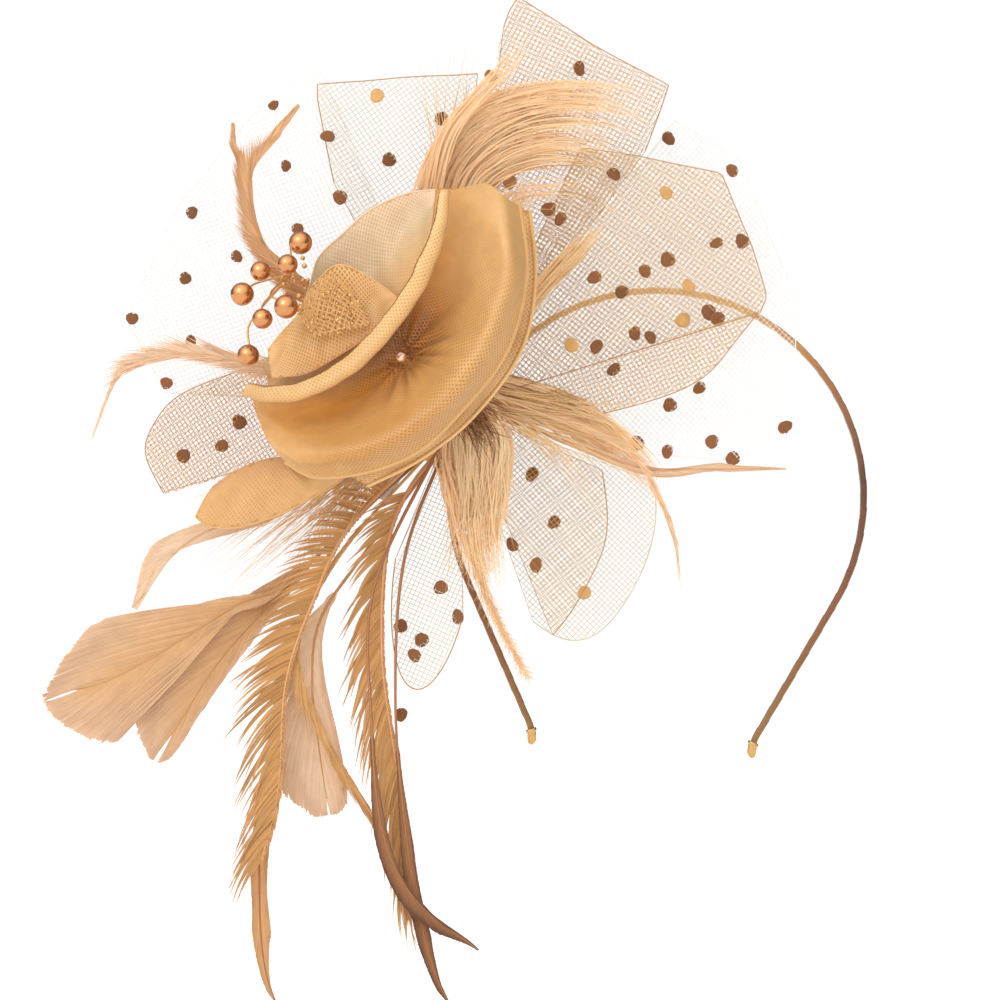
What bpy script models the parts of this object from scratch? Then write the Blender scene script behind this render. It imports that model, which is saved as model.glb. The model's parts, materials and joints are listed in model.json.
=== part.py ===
"""Fascinator headpiece: a ribbon-wound headband, and a flower of mesh petals, net and feathers on it.

World frame: +X to the wearer's left, +Z up, +Y towards the head's far side. The origin is the inside of the
headband at the crown. Lengths below are in millimetres, and are turned into metres where a mesh is made.
"""

import math

import bmesh
import bpy
from mathutils import Vector

MM = 0.001

# Headband
CROWN_INNER_RADIUS = 66.0
BAND_WIDTH = 5.2
BAND_THICKNESS = 2.3
RIBBON_THICKNESS = 0.4
CORE_WIDTH = 3.8
CORE_THICKNESS = 0.9
CROWN_HALF_ANGLE = math.radians(117)
LEG_LENGTH = 49.6
LEG_END_LENGTH = 7.3
LEG_END_TURN = math.radians(14)
TIP_WALL = 0.5
TIP_GAP = 0.15

# Mounting of the flower on the band
BASE_ANGLE = math.radians(20.9)
BASE_RADIUS = 22.0
BASE_DISTANCE = 81.3
KEEPER_SPREAD = math.radians(9.5)
KEEPER_LENGTH = 7.0
KEEPER_GAP = 0.35
KEEPER_WALL = 0.6
BACKING_RADIUS = 19.0
BACKING_Y = (-3.8, -4.8)
BASE_Y = (-5.1, -7.1)

# Stem binding: every feather and net is gathered on it, and its axis runs along Y
HUB = (-66.0, -40.5)
HUB_RADIUS = 5.0
HUB_Y = (-7.5, -30.5)

# Flower: petal and pearl depths below are moved forward by this much, to clear the layers behind them
FLOWER_FORWARD = 7.0
THROAT_TOP = (-82.0, -41.0, -30.0)

# Layers: thin pieces lie on nested bowls round the hub, so no two of them meet
FIRST_LAYER_Y = 8.2
LAYER_STEP = 1.9
LAYER_LIFT = 0.02
LIFT_STEP = 0.012
BOWL_DEPTH = 22.0
BOWL_REACH = 160.0
NET_THICKNESS = 0.8
QUILL_THICKNESS = 1.0
GATHER_RADIUS = 8.5

# Clip, on the back of the base
CLIP_DISTANCE = 82.0
CLIP_LENGTH = 75.0
CLIP_WIDTH = 8.0
CLIP_TIP_WIDTH = 5.6
CLIP_SHEET = 0.6
CLIP_Y = -3.5
PIVOT_FROM_END = 14.0
PIVOT_HEIGHT = 3.4
PIN_RADIUS = 1.0
PIN_GAP = 0.15
LEVER_HALF_WIDTH = 3.1
SPRING_WIRE = 0.3
SPRING_RADIUS = 1.55
SPRING_TURNS = 3

PETAL_THICKNESS = 1.0
PEARL_STEM_RADIUS = 0.35

BAND_CENTRE_RADIUS = CROWN_INNER_RADIUS + BAND_THICKNESS / 2
CROWN_CENTRE = Vector((0.0, 0.0, -CROWN_INNER_RADIUS))
TAU = 2 * math.pi


# ---------------------------------------------------------------- materials and meshes


def clear_scene():
    for obj in list(bpy.data.objects):
        bpy.data.objects.remove(obj)


def material(name, colour, roughness, metallic=0.0):
    found = bpy.data.materials.get(name)
    if found:
        return found
    made = bpy.data.materials.new(name)
    made.use_nodes = True
    shader = made.node_tree.nodes["Principled BSDF"]
    shader.inputs["Base Color"].default_value = (*colour, 1.0)
    shader.inputs["Roughness"].default_value = roughness
    shader.inputs["Metallic"].default_value = metallic
    return made


def ribbon_satin():
    return material("ribbon_satin", (0.42, 0.24, 0.07), 0.35)


def spring_steel():
    return material("spring_steel", (0.55, 0.55, 0.56), 0.3, 1.0)


def gilt_metal():
    return material("gilt_metal", (0.45, 0.25, 0.08), 0.35, 1.0)


def felt():
    return material("felt", (0.70, 0.45, 0.20), 0.95)


def floral_tape():
    return material("floral_tape", (0.38, 0.20, 0.06), 0.8)


def crin_mesh():
    return material("crin_mesh", (0.85, 0.62, 0.30), 0.45)


def glitter_net():
    return material("glitter_net", (0.70, 0.45, 0.16), 0.3, 0.5)


def netting():
    return material("netting", (0.93, 0.82, 0.66), 0.6)


def pearl_coat():
    return material("pearl_coat", (0.60, 0.33, 0.12), 0.2, 0.6)


def peach_feather():
    return material("peach_feather", (0.86, 0.56, 0.32), 0.7)


def brown_feather():
    return material("brown_feather", (0.50, 0.24, 0.07), 0.6)


def add_mesh(name, points, faces, mat, origin=(0.0, 0.0, 0.0), smooth=True):
    """One object from points in millimetres, with its origin at the given point."""
    mesh = bpy.data.meshes.new(name)
    start = Vector(origin)
    mesh.from_pydata([(Vector(p) - start) * MM for p in points], [], faces)
    work = bmesh.new()
    work.from_mesh(mesh)
    bmesh.ops.recalc_face_normals(work, faces=work.faces)
    if work.calc_volume(signed=True) < 0:
        bmesh.ops.reverse_faces(work, faces=work.faces)
    work.to_mesh(mesh)
    work.free()
    mesh.materials.append(mat)
    if smooth:
        mesh.shade_smooth()
        mesh.set_sharp_from_angle(angle=math.radians(40))
    obj = bpy.data.objects.new(name, mesh)
    obj.location = start * MM
    bpy.context.scene.collection.objects.link(obj)
    return obj


def smooth_points(points, count):
    """Evenly numbered points along a Catmull-Rom curve through the given ones."""
    knots = [Vector(p) for p in points]
    knots = [2 * knots[0] - knots[1], *knots, 2 * knots[-1] - knots[-2]]
    spans = len(knots) - 3
    found = []
    for i in range(count):
        along = i / (count - 1) * spans
        span = min(int(along), spans - 1)
        t = along - span
        a, b, c, d = knots[span : span + 4]
        found.append(
            0.5
            * (2 * b + (c - a) * t + (2 * a - 5 * b + 4 * c - d) * t**2 + (3 * b - a - 3 * c + d) * t**3)
        )
    return found


def bridge_rings(rings, closed_ends=True):
    """Points and faces of a loft through rings of equal size."""
    size = len(rings[0])
    points = [p for ring in rings for p in ring]
    faces = []
    for row in range(len(rings) - 1):
        for i in range(size):
            a = row * size + i
            b = row * size + (i + 1) % size
            faces.append((a, b, b + size, a + size))
    if closed_ends:
        faces.append(tuple(range(size))[::-1])
        last = (len(rings) - 1) * size
        faces.append(tuple(range(last, last + size)))
    return points, faces


def hollow_rings(outer, inner):
    """Points and faces of a tube with open ends: outer and inner rings joined at both ends."""
    size = len(outer[0])
    points, faces = bridge_rings(outer, closed_ends=False)
    inner_points, inner_faces = bridge_rings(inner, closed_ends=False)
    shift = len(points)
    points += inner_points
    faces += [tuple(i + shift for i in face[::-1]) for face in inner_faces]
    for row in (0, len(outer) - 1):
        for i in range(size):
            a = row * size + i
            b = row * size + (i + 1) % size
            faces.append((b, a, a + shift, b + shift))
    return points, faces


def thick_sheet(grid, thickness):
    """Points and faces of a closed sheet: a grid of points thickened along its own normals."""
    rows, columns = len(grid), len(grid[0])
    front, back = [], []
    for i in range(rows):
        for j in range(columns):
            along = grid[min(i + 1, rows - 1)][j] - grid[max(i - 1, 0)][j]
            across = grid[i][min(j + 1, columns - 1)] - grid[i][max(j - 1, 0)]
            normal = along.cross(across).normalized() * thickness / 2
            front.append(grid[i][j] + normal)
            back.append(grid[i][j] - normal)
    shift = rows * columns
    faces = []
    for i in range(rows - 1):
        for j in range(columns - 1):
            a = i * columns + j
            quad = (a, a + 1, a + columns + 1, a + columns)
            faces.append(quad)
            faces.append(tuple(k + shift for k in quad[::-1]))
    edge = [(0, j) for j in range(columns)]
    edge += [(i, columns - 1) for i in range(1, rows)]
    edge += [(rows - 1, j) for j in range(columns - 2, -1, -1)]
    edge += [(i, 0) for i in range(rows - 2, 0, -1)]
    for k, (i, j) in enumerate(edge):
        n, m = edge[(k + 1) % len(edge)]
        a, b = i * columns + j, n * columns + m
        faces.append((b, a, a + shift, b + shift))
    return front + back, faces


def forward(point):
    return Vector(point) + Vector((0, -FLOWER_FORWARD, 0))


def surface_grid(rows, along, across):
    """A grid on the smooth surface through rows of guide points."""
    smooth_rows = [smooth_points(row, along) for row in rows]
    return [smooth_points([row[i] for row in smooth_rows], across) for i in range(along)]


def turned(profile, sides, centre, axis, start):
    """Points and faces of a turned solid: profile is (distance along axis, radius) pairs."""
    axis, start, centre = Vector(axis), Vector(start), Vector(centre)
    other = axis.cross(start)
    rings = []
    for height, radius in profile:
        middle = centre + axis * height
        rings.append(
            [
                middle + (start * math.cos(TAU * i / sides) + other * math.sin(TAU * i / sides)) * radius
                for i in range(sides)
            ]
        )
    return bridge_rings(rings)


# ---------------------------------------------------------------- headband


def band_station(distance):
    """Centre and outward normal of the band at a distance from the crown, positive to +X."""
    side = 1 if distance >= 0 else -1
    left = abs(distance)
    crown = BAND_CENTRE_RADIUS * CROWN_HALF_ANGLE
    angle = min(left, crown) / BAND_CENTRE_RADIUS
    point = CROWN_CENTRE + Vector((math.sin(angle), 0, math.cos(angle))) * BAND_CENTRE_RADIUS
    leg = min(max(left - crown, 0.0), LEG_LENGTH)
    point += Vector((math.cos(angle), 0, -math.sin(angle))) * leg
    end = max(left - crown - LEG_LENGTH, 0.0)
    if end:
        angle -= LEG_END_TURN * end / LEG_END_LENGTH
        point += Vector((math.cos(angle), 0, -math.sin(angle))) * end
    normal = Vector((math.sin(angle), 0, math.cos(angle)))
    return Vector((side * point.x, 0, point.z)), Vector((side * normal.x, 0, normal.z))


def band_half_length():
    return BAND_CENTRE_RADIUS * CROWN_HALF_ANGLE + LEG_LENGTH + LEG_END_LENGTH


def rounded_section(width, thickness, corner):
    """Eight points round a flat section, as (across, through) pairs."""
    w, t = width / 2, thickness / 2
    return [
        (w, t - corner),
        (w - corner, t),
        (corner - w, t),
        (-w, t - corner),
        (-w, corner - t),
        (corner - w, -t),
        (w - corner, -t),
        (w, corner - t),
    ]


def square_section(width, thickness):
    w, t = width / 2, thickness / 2
    return [(w, t), (-w, t), (-w, -t), (w, -t)]


def spaced(first, last, count):
    return [first + (last - first) * i / (count - 1) for i in range(count)]


def band_stops(shorter=0.0):
    """Distances along the whole band, closer together where its ends bend."""
    crown = BAND_CENTRE_RADIUS * CROWN_HALF_ANGLE
    knee = crown + LEG_LENGTH
    right = spaced(0, crown, 22) + spaced(crown, knee, 5)[1:] + spaced(knee, band_half_length(), 7)[1:]
    right[-1] -= shorter
    return [-stop for stop in right[:0:-1]] + right


def band_rings(stops, section):
    rings = []
    for stop in stops:
        centre, normal = band_station(stop)
        rings.append([centre + Vector((0, across, 0)) + normal * through for across, through in section])
    return rings


def make_headband():
    section = square_section(CORE_WIDTH, CORE_THICKNESS)
    points, faces = bridge_rings(band_rings(band_stops(shorter=0.6), section))
    add_mesh("headband_core", points, faces, spring_steel())
    outer = rounded_section(BAND_WIDTH, BAND_THICKNESS, 0.7)
    inner_width = BAND_WIDTH - 2 * RIBBON_THICKNESS
    inner_thickness = BAND_THICKNESS - 2 * RIBBON_THICKNESS
    inner = rounded_section(inner_width, inner_thickness, 0.1)
    points, faces = hollow_rings(band_rings(band_stops(), outer), band_rings(band_stops(), inner))
    add_mesh("headband_ribbon", points, faces, ribbon_satin())
    for name, side in (("band_tip_left", -1), ("band_tip_right", 1)):
        make_band_tip(name, side)


def make_band_tip(name, side):
    """A cap with a pocket that the end of the wound band sits in."""
    pocket = 2 * TIP_GAP
    bottom = band_half_length() + 0.3
    mouth = band_stops()[-4:]
    inner = rounded_section(BAND_WIDTH + pocket, BAND_THICKNESS + pocket, 0.7)
    grow = pocket + 2 * TIP_WALL
    outer = rounded_section(BAND_WIDTH + grow, BAND_THICKNESS + grow, 0.9)
    outer_rings = band_rings([side * stop for stop in (*mouth, bottom + TIP_WALL)], outer)
    inner_rings = band_rings([side * stop for stop in (*mouth, bottom)], inner)
    size = len(outer)
    rows = len(outer_rings) - 1
    points, faces = bridge_rings(outer_rings, closed_ends=False)
    faces.append(tuple(range(rows * size, (rows + 1) * size)))
    pocket_points, pocket_faces = bridge_rings(inner_rings, closed_ends=False)
    shift = len(points)
    points += pocket_points
    faces += [tuple(i + shift for i in face[::-1]) for face in pocket_faces]
    faces.append(tuple(range(shift + rows * size, shift + (rows + 1) * size))[::-1])
    for i in range(size):
        j = (i + 1) % size
        faces.append((j, i, i + shift, j + shift))
    add_mesh(name, points, faces, gilt_metal())


# ---------------------------------------------------------------- base, keepers and clip


def polar(angle, distance, y=0.0):
    """A point at a distance from the crown's centre, at an angle above the horizontal on the -X side."""
    return CROWN_CENTRE + Vector((-math.cos(angle) * distance, y, math.sin(angle) * distance))


def base_centre():
    return polar(BASE_ANGLE, BASE_DISTANCE)


def make_keepers():
    """Two ribbon loops that the band slides through."""
    gap = 2 * KEEPER_GAP
    wall = gap + 2 * KEEPER_WALL
    inner = square_section(BAND_WIDTH + gap, BAND_THICKNESS + gap)
    outer = square_section(BAND_WIDTH + wall, BAND_THICKNESS + wall)
    middle = (math.pi / 2 - BASE_ANGLE) * BAND_CENTRE_RADIUS
    spread = KEEPER_SPREAD * BAND_CENTRE_RADIUS
    for name, place in (("keeper_upper", middle - spread), ("keeper_lower", middle + spread)):
        stops = spaced(-place - KEEPER_LENGTH / 2, -place + KEEPER_LENGTH / 2, 4)
        points, faces = hollow_rings(band_rings(stops, outer), band_rings(stops, inner))
        add_mesh(name, points, faces, ribbon_satin(), smooth=False)


def make_disc(name, radius, span, bevel, mat):
    front, back = span
    profile = [
        (front, radius - bevel),
        (front - bevel, radius),
        (back + bevel, radius),
        (back, radius - bevel),
    ]
    points, faces = turned(profile, 36, base_centre(), (0, 1, 0), (1, 0, 0))
    add_mesh(name, points, faces, mat)


def clip_frame():
    """The clip's middle on the base, and its directions: along, sideways and away from the base."""
    middle = polar(BASE_ANGLE, CLIP_DISTANCE, CLIP_Y)
    along = Vector((math.sin(BASE_ANGLE), 0, math.cos(BASE_ANGLE)))
    outward = Vector((-math.cos(BASE_ANGLE), 0, math.sin(BASE_ANGLE)))
    return middle, along, outward, Vector((0, 1, 0))


def clip_point(along_mm, side_mm, up_mm):
    middle, along, outward, up = clip_frame()
    return middle + along * along_mm + outward * side_mm + up * up_mm


def pivot_along():
    return PIVOT_FROM_END - CLIP_LENGTH / 2


def channel_rings(stations):
    """Rings of a pressed channel: stations are (along, half width, web height, rim height)."""
    rings = []
    for along_mm, half, web, rim in stations:
        inward = half - CLIP_SHEET
        thick = CLIP_SHEET if rim > web else -CLIP_SHEET
        outline = [
            (-half, web),
            (half, web),
            (half, rim),
            (inward, rim),
            (inward, web + thick),
            (-inward, web + thick),
            (-inward, rim),
            (-half, rim),
        ]
        rings.append([clip_point(along_mm, side_mm, up_mm) for side_mm, up_mm in outline])
    return rings


def cut_pin_hole(obj, radius):
    """A hole across the clip, round the pivot."""
    _, _, outward, up = clip_frame()
    centre = clip_point(pivot_along(), -CLIP_WIDTH, PIVOT_HEIGHT)
    points, faces = turned([(0, radius), (2 * CLIP_WIDTH, radius)], 20, centre, outward, up)
    cutter = add_mesh(obj.name + "_hole", points, faces, spring_steel())
    cutter.hide_render = True
    cutter.display_type = "WIRE"
    cut = obj.modifiers.new("pin_hole", "BOOLEAN")
    cut.operation = "DIFFERENCE"
    cut.object = cutter


def make_clip():
    end, tip, pivot = -CLIP_LENGTH / 2, CLIP_LENGTH / 2, pivot_along()
    half, tip_half = CLIP_WIDTH / 2, CLIP_TIP_WIDTH / 2
    ear_height = PIVOT_HEIGHT + 2.0
    base_stations = [
        (end, tip_half, 0.0, 1.4),
        (pivot - 4.5, half, 0.0, 1.6),
        (pivot - 1.8, half, 0.0, ear_height),
        (pivot + 1.8, half, 0.0, ear_height),
        (pivot + 5.0, half, 0.0, 2.0),
        (tip, tip_half, 0.0, 1.6),
    ]
    points, faces = bridge_rings(channel_rings(base_stations))
    base = add_mesh("clip_base", points, faces, spring_steel(), smooth=False)
    cut_pin_hole(base, PIN_RADIUS + PIN_GAP)

    slim = LEVER_HALF_WIDTH
    flange = PIVOT_HEIGHT - 1.4
    lever_stations = [
        (end, slim - 0.2, 8.6, 7.8),
        (end + 3.0, slim, 8.9, 7.9),
        (pivot - 6.0, slim, 7.6, 6.4),
        (pivot - 2.4, slim, 6.6, flange),
        (pivot + 2.4, slim, 6.2, flange),
        (pivot + 6.0, slim, 4.2, 2.6),
        (pivot + 12.0, slim, 3.2, 2.2),
        (tip, tip_half - 0.4, 2.8, 2.1),
    ]
    points, faces = bridge_rings(channel_rings(lever_stations))
    pivot_point = clip_point(pivot, 0, PIVOT_HEIGHT)
    lever = add_mesh("clip_lever", points, faces, spring_steel(), origin=pivot_point, smooth=False)
    cut_pin_hole(lever, PIN_RADIUS + PIN_GAP)
    make_clip_pin(half)
    make_clip_spring(pivot)


def make_clip_pin(half):
    """A headed rivet through both ears."""
    _, _, outward, up = clip_frame()
    centre = clip_point(pivot_along(), 0, PIVOT_HEIGHT)
    inside, outside = half + 0.2, half + 0.8
    head = PIN_RADIUS + 0.7
    profile = [
        (-outside, head),
        (-inside, head),
        (-inside, PIN_RADIUS),
        (inside, PIN_RADIUS),
        (inside, head),
        (outside, head),
    ]
    points, faces = turned(profile, 16, centre, outward, up)
    add_mesh("clip_pin", points, faces, spring_steel())


def make_clip_spring(pivot):
    """A torsion spring: a coil round the pin, one arm on the base and one under the lever's handle."""
    steps = 12
    pitch = 2.6 * SPRING_WIRE
    arm = 8.0
    coil = []
    for i in range(SPRING_TURNS * steps + steps // 2 + 1):
        turn = -TAU / 4 - TAU * i / steps
        sideways = pitch * (i / steps - SPRING_TURNS / 2)
        along_mm = pivot + SPRING_RADIUS * math.cos(turn)
        coil.append((along_mm, sideways, PIVOT_HEIGHT + SPRING_RADIUS * math.sin(turn)))
    lower_arm = (pivot - arm, coil[0][1], PIVOT_HEIGHT - SPRING_RADIUS)
    upper_arm = (pivot - arm, coil[-1][1], PIVOT_HEIGHT + SPRING_RADIUS + 0.9)
    route = [lower_arm, *coil, upper_arm]
    curve = bpy.data.curves.new("clip_spring", "CURVE")
    curve.dimensions = "3D"
    curve.bevel_depth = SPRING_WIRE * MM
    curve.bevel_resolution = 1
    curve.use_fill_caps = True
    spline = curve.splines.new("POLY")
    spline.points.add(len(route) - 1)
    for point, place in zip(spline.points, route):
        point.co = (*(clip_point(*place) * MM), 1.0)
    curve.materials.append(spring_steel())
    bpy.context.scene.collection.objects.link(bpy.data.objects.new("clip_spring", curve))


# ---------------------------------------------------------------- stem binding


def make_binding():
    front, back = HUB_Y
    profile = []
    rows = 7
    for i in range(rows):
        wave = 0.3 * (-1) ** i
        profile.append((front + (back - front) * i / (rows - 1), HUB_RADIUS + wave))
    points, faces = turned(profile, 20, (HUB[0], 0, HUB[1]), (0, 1, 0), (1, 0, 0))
    add_mesh("stem_binding", points, faces, floral_tape())
    start = Vector((HUB[0], back - 0.4, HUB[1]))
    top = forward(THROAT_TOP)
    rings = []
    for i in range(6):
        t = i / 5
        centre = start.lerp(top, t)
        radius = 3.2 + 1.3 * t
        rings.append(
            [centre + Vector((math.cos(TAU * k / 14), 0, math.sin(TAU * k / 14))) * radius for k in range(14)]
        )
    points, faces = bridge_rings(rings)
    add_mesh("petal_binding", points, faces, floral_tape())


# ---------------------------------------------------------------- layered nets and feathers


def layer_y(layer, x, z):
    """Depth of a layer above the point (x, z): a cone steeper in each layer, in a bowl common to all."""
    spread = math.hypot(x - HUB[0], z - HUB[1])
    bowl = BOWL_DEPTH * (1 - math.cos(math.pi * spread / BOWL_REACH)) / 2
    return -(FIRST_LAYER_Y + LAYER_STEP * layer + (LAYER_LIFT + LIFT_STEP * layer) * spread + bowl)


def on_layer(layer, x, z):
    return Vector((x, layer_y(layer, x, z), z))


def make_net(name, layer, outline):
    """A fan of net from its gather at the hub to its outer edge, which is given corner by corner."""
    edge = []
    for (x0, z0), (x1, z1) in zip(outline, outline[1:]):
        steps = max(1, round(math.hypot(x1 - x0, z1 - z0) / 14))
        edge += [(x0 + (x1 - x0) * i / steps, z0 + (z1 - z0) * i / steps) for i in range(steps)]
    edge.append(outline[-1])
    rows = 5
    grid = []
    for x, z in edge:
        reach = math.hypot(x - HUB[0], z - HUB[1])
        column = []
        for row in range(rows):
            part = (GATHER_RADIUS + (reach - GATHER_RADIUS) * row / (rows - 1)) / reach
            column.append(on_layer(layer, HUB[0] + (x - HUB[0]) * part, HUB[1] + (z - HUB[1]) * part))
        grid.append(column)
    points, faces = thick_sheet(grid, NET_THICKNESS)
    add_mesh(name, points, faces, netting())


def width_at(widths, part):
    """The (left, right) half widths of a vane, read between its given (part, left, right) rows."""
    for (p0, l0, r0), (p1, l1, r1) in zip(widths, widths[1:]):
        if part <= p1:
            t = (part - p0) / (p1 - p0)
            return l0 + (l1 - l0) * t, r0 + (r1 - r0) * t
    return widths[-1][1:]


def make_feather(name, layer, route, widths, mat, stations=13):
    """A flat feather: a quill along the route, with a vane of the given widths on its two sides."""
    quill = [Vector((x, 0, z)) for x, z in route]
    line = smooth_points(quill, stations)
    rings = []
    for i, centre in enumerate(line):
        ahead = line[min(i + 1, stations - 1)] - line[max(i - 1, 0)]
        side = Vector((-ahead.z, 0, ahead.x)).normalized()
        left, right = width_at(widths, i / (stations - 1))
        a, b = centre + side * left, centre - side * right
        half = Vector((0, QUILL_THICKNESS / 2 * (1 - 0.5 * i / stations), 0))
        middle = on_layer(layer, centre.x, centre.z)
        rings.append([on_layer(layer, a.x, a.z), middle - half, on_layer(layer, b.x, b.z), middle + half])
    points, faces = bridge_rings(rings)
    add_mesh(name, points, faces, mat)


SLIM = [(0, 0.8, 0.8), (0.3, 1.0, 1.0), (0.6, 2.2, 2.2), (0.85, 2.4, 2.4), (1, 0.4, 0.4)]
BIOT = [(0, 0.8, 0.8), (0.45, 1.6, 1.6), (0.65, 3.4, 3.4), (0.85, 2.2, 2.2), (1, 0.3, 0.3)]
BLADE = [(0, 0.6, 0.6), (0.5, 0.8, 0.8), (0.75, 2.4, 2.4), (0.9, 2.8, 2.8), (1, 0.4, 0.4)]
GOOSE = [(0, 0.8, 0.8), (0.45, 1.2, 1.2), (0.62, 12, 10), (0.82, 20, 17), (0.95, 16, 13), (1, 7, 6)]
COQUE = [(0, 1.0, 1.0), (0.2, 2.5, 6), (0.5, 4, 15), (0.75, 4, 15), (0.92, 3, 9), (1, 0.6, 1.5)]
PLUME = [(0, 2.0, 2.0), (0.3, 8, 8), (0.6, 13, 12), (0.85, 11, 10), (1, 2, 2)]
FLUFF = [(0, 2.0, 2.0), (0.3, 8, 8), (0.7, 12, 12), (1, 3, 3)]


def make_nets():
    make_net("veil_left", 0, [(-160, -43), (-174, -19), (-159, 19), (-132, 56), (-117, 68)])
    make_net("veil_right", 0, [(-5, 56), (19, 44), (40, 0), (42, -41), (24, -53), (-7, -52)])
    make_net("net_top_left", 1, [(-109, 24), (-113, 39), (-118, 59), (-91, 63), (-65, 66)])
    make_net("net_lower_left", 1, [(-158, -75), (-167, -60), (-158, -43), (-133, -32)])
    lobe = [(-2, -60), (0, -74), (-3, -88), (-10, -103), (-18, -113), (-29, -116), (-38, -108)]
    make_net("net_lobe", 1, lobe)
    make_net("net_top_apex", 3, [(-62, 68), (-56, 91), (-31, 77), (-5, 65), (-12, 42)])
    make_net("net_lower_fold", 3, [(-19, -57), (-15, -80), (-25, -103), (-32, -113)])
    centre = [(-60, -102), (-60, -116), (-69, -134), (-78, -142), (-83, -116), (-83, -90)]
    make_net("net_lower_centre", 6, centre)
    make_net("net_right_upper", 5, [(-34, 44), (-13, 42), (13, 38), (24, 16), (30, 0), (28, -6)])
    make_net("net_right_lower", 6, [(30, -2), (20, -15), (13, -27), (7, -32), (-6, -35), (-22, -41)])


def make_plumes():
    """The full, soft feathers above and below the flower."""
    peach = peach_feather()
    plume_top = [(-68, -33), (-71, 4), (-69, 37), (-49, 59), (-27, 66), (-6, 64)]
    make_feather("plume_top", 2, plume_top, PLUME, peach)
    make_feather("plume_side", 4, [(-64, -33), (-58, 1), (-44, 28), (-26, 45), (-9, 55)], PLUME, peach)
    make_feather("marabou_right", 2, [(-58, -41), (-43, -46), (-23, -48), (-6, -56)], FLUFF, peach)
    make_feather("marabou_down", 9, [(-65, -50), (-62, -63), (-60, -79), (-63, -97)], FLUFF, peach)
    make_feather("hackle_down", 5, [(-65, -50), (-61, -76), (-53, -101), (-40, -124)], FLUFF, peach)


def make_goose_feathers():
    """Broad feathers with a round end, on a stripped quill."""
    peach = peach_feather()
    goose_back = [(-73, -48), (-104, -87), (-126, -118), (-146, -142), (-160, -161)]
    make_feather("goose_back", 2, goose_back, GOOSE, peach)
    goose_front = [(-74, -47), (-104, -82), (-135, -109), (-166, -129), (-191, -138)]
    make_feather("goose_front", 3, goose_front, GOOSE, peach)
    goose_centre = [(-70, -54), (-94, -91), (-106, -117), (-106, -146), (-101, -174)]
    make_feather("goose_centre", 4, goose_centre, GOOSE, peach)


def make_coques_and_blades():
    """The long dark feathers that hang below the flower."""
    brown = brown_feather()
    coque_left = [
        (-71, -50), (-92, -75), (-110, -95), (-116, -118), (-116, -143), (-118, -169),
        (-126, -195),
    ]
    make_feather("coque_left", 7, coque_left, COQUE, brown)
    coque_right = [(-67, -50), (-82, -77), (-86, -103), (-81, -135), (-76, -163), (-75, -192)]
    make_feather("coque_right", 8, coque_right, COQUE, brown)
    folded = [(-72, -53), (-101, -91), (-112, -121), (-102, -147), (-86, -171), (-77, -188)]
    make_feather("coque_folded", 6, folded, SLIM, peach_feather())
    left = [
        (-71, -52), (-101, -85), (-114, -118), (-114, -150), (-118, -182), (-121, -202),
        (-118, -221), (-113, -233),
    ]
    make_feather("blade_left", 5, left, BLADE, brown)
    long = [(-68, -50), (-80, -90), (-80, -135), (-74, -176), (-69, -198), (-63, -217), (-57, -229)]
    make_feather("blade_right_long", 9, long, BLADE, brown)
    short = [(-70, -51), (-89, -100), (-87, -142), (-81, -177), (-69, -197), (-49, -211)]
    make_feather("blade_right_short", 10, short, BLADE, brown)


def make_slim_feathers():
    """Quills, hackles and biots that stand out round the flower."""
    peach = peach_feather()
    hackle = [(-74, -40), (-101, -32), (-129, -30), (-150, -26), (-166, -29), (-175, -37), (-180, -56)]
    make_feather("hackle_left", 5, hackle, SLIM, peach)
    make_feather("hackle_right", 8, [(-58, -39), (-33, -41), (-10, -49), (3, -66), (9, -84)], SLIM, peach)
    make_feather("quill_left", 4, [(-74, -48), (-115, -73), (-149, -89), (-165, -111)], SLIM, peach)
    quill = [(-58, -42), (-33, -47), (-7, -54), (19, -54), (41, -52)]
    make_feather("quill_right", 7, quill, SLIM, brown_feather())
    biot = [(-73, -36), (-95, -20), (-119, -4), (-132, 10), (-139, 25), (-142, 42)]
    make_feather("biot_left", 7, biot, BIOT, peach)
    biot = [(-72, -35), (-95, -18), (-117, -2), (-131, 14), (-135, 33), (-123, 51)]
    make_feather("biot_right", 8, biot, BIOT, peach)


# ---------------------------------------------------------------- petals, pearls


def make_petal(name, rows, mat, along=13, across=6):
    moved = [[forward(point) for point in row] for row in rows]
    points, faces = thick_sheet(surface_grid(moved, along, across), PETAL_THICKNESS)
    add_mesh(name, points, faces, mat)


def make_outer_shell():
    """The large right petal: it rises from the throat to a crest and rolls back to its outer edge."""
    trough = [
        (-80, -52, 27), (-72, -51, 6), (-75, -50, -14), (-82, -50, -31), (-101, -50, -41),
        (-123, -50, -43),
    ]
    rise = [
        (-78, -58, 28), (-66, -62, 9), (-69, -63, -15), (-80, -64, -33), (-101, -63, -45),
        (-123, -57, -48),
    ]
    crest = [
        (-75, -62, 29), (-57, -70, 10), (-59, -72, -16), (-75, -73, -41), (-101, -70, -53),
        (-124, -61, -56),
    ]
    edge = [
        (-73, -58, 30), (-48, -60, 8), (-50, -58, -21), (-68, -58, -53), (-98, -57, -66),
        (-123, -55, -67),
    ]
    make_petal("petal_outer_shell", [trough, rise, crest, edge], crin_mesh(), along=18, across=9)


def make_outer_back():
    """The folded second layer behind the outer petal's edge."""
    inside = [(-66, -47, 22), (-58, -48, 4), (-60, -48, -18), (-74, -48, -42), (-97, -48, -55)]
    edge = [(-66, -46, 30), (-45, -47, 8), (-47, -47, -22), (-66, -47, -55), (-97, -47, -69)]
    make_petal("petal_outer_back", [inside, edge], crin_mesh(), along=14, across=4)


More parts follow.
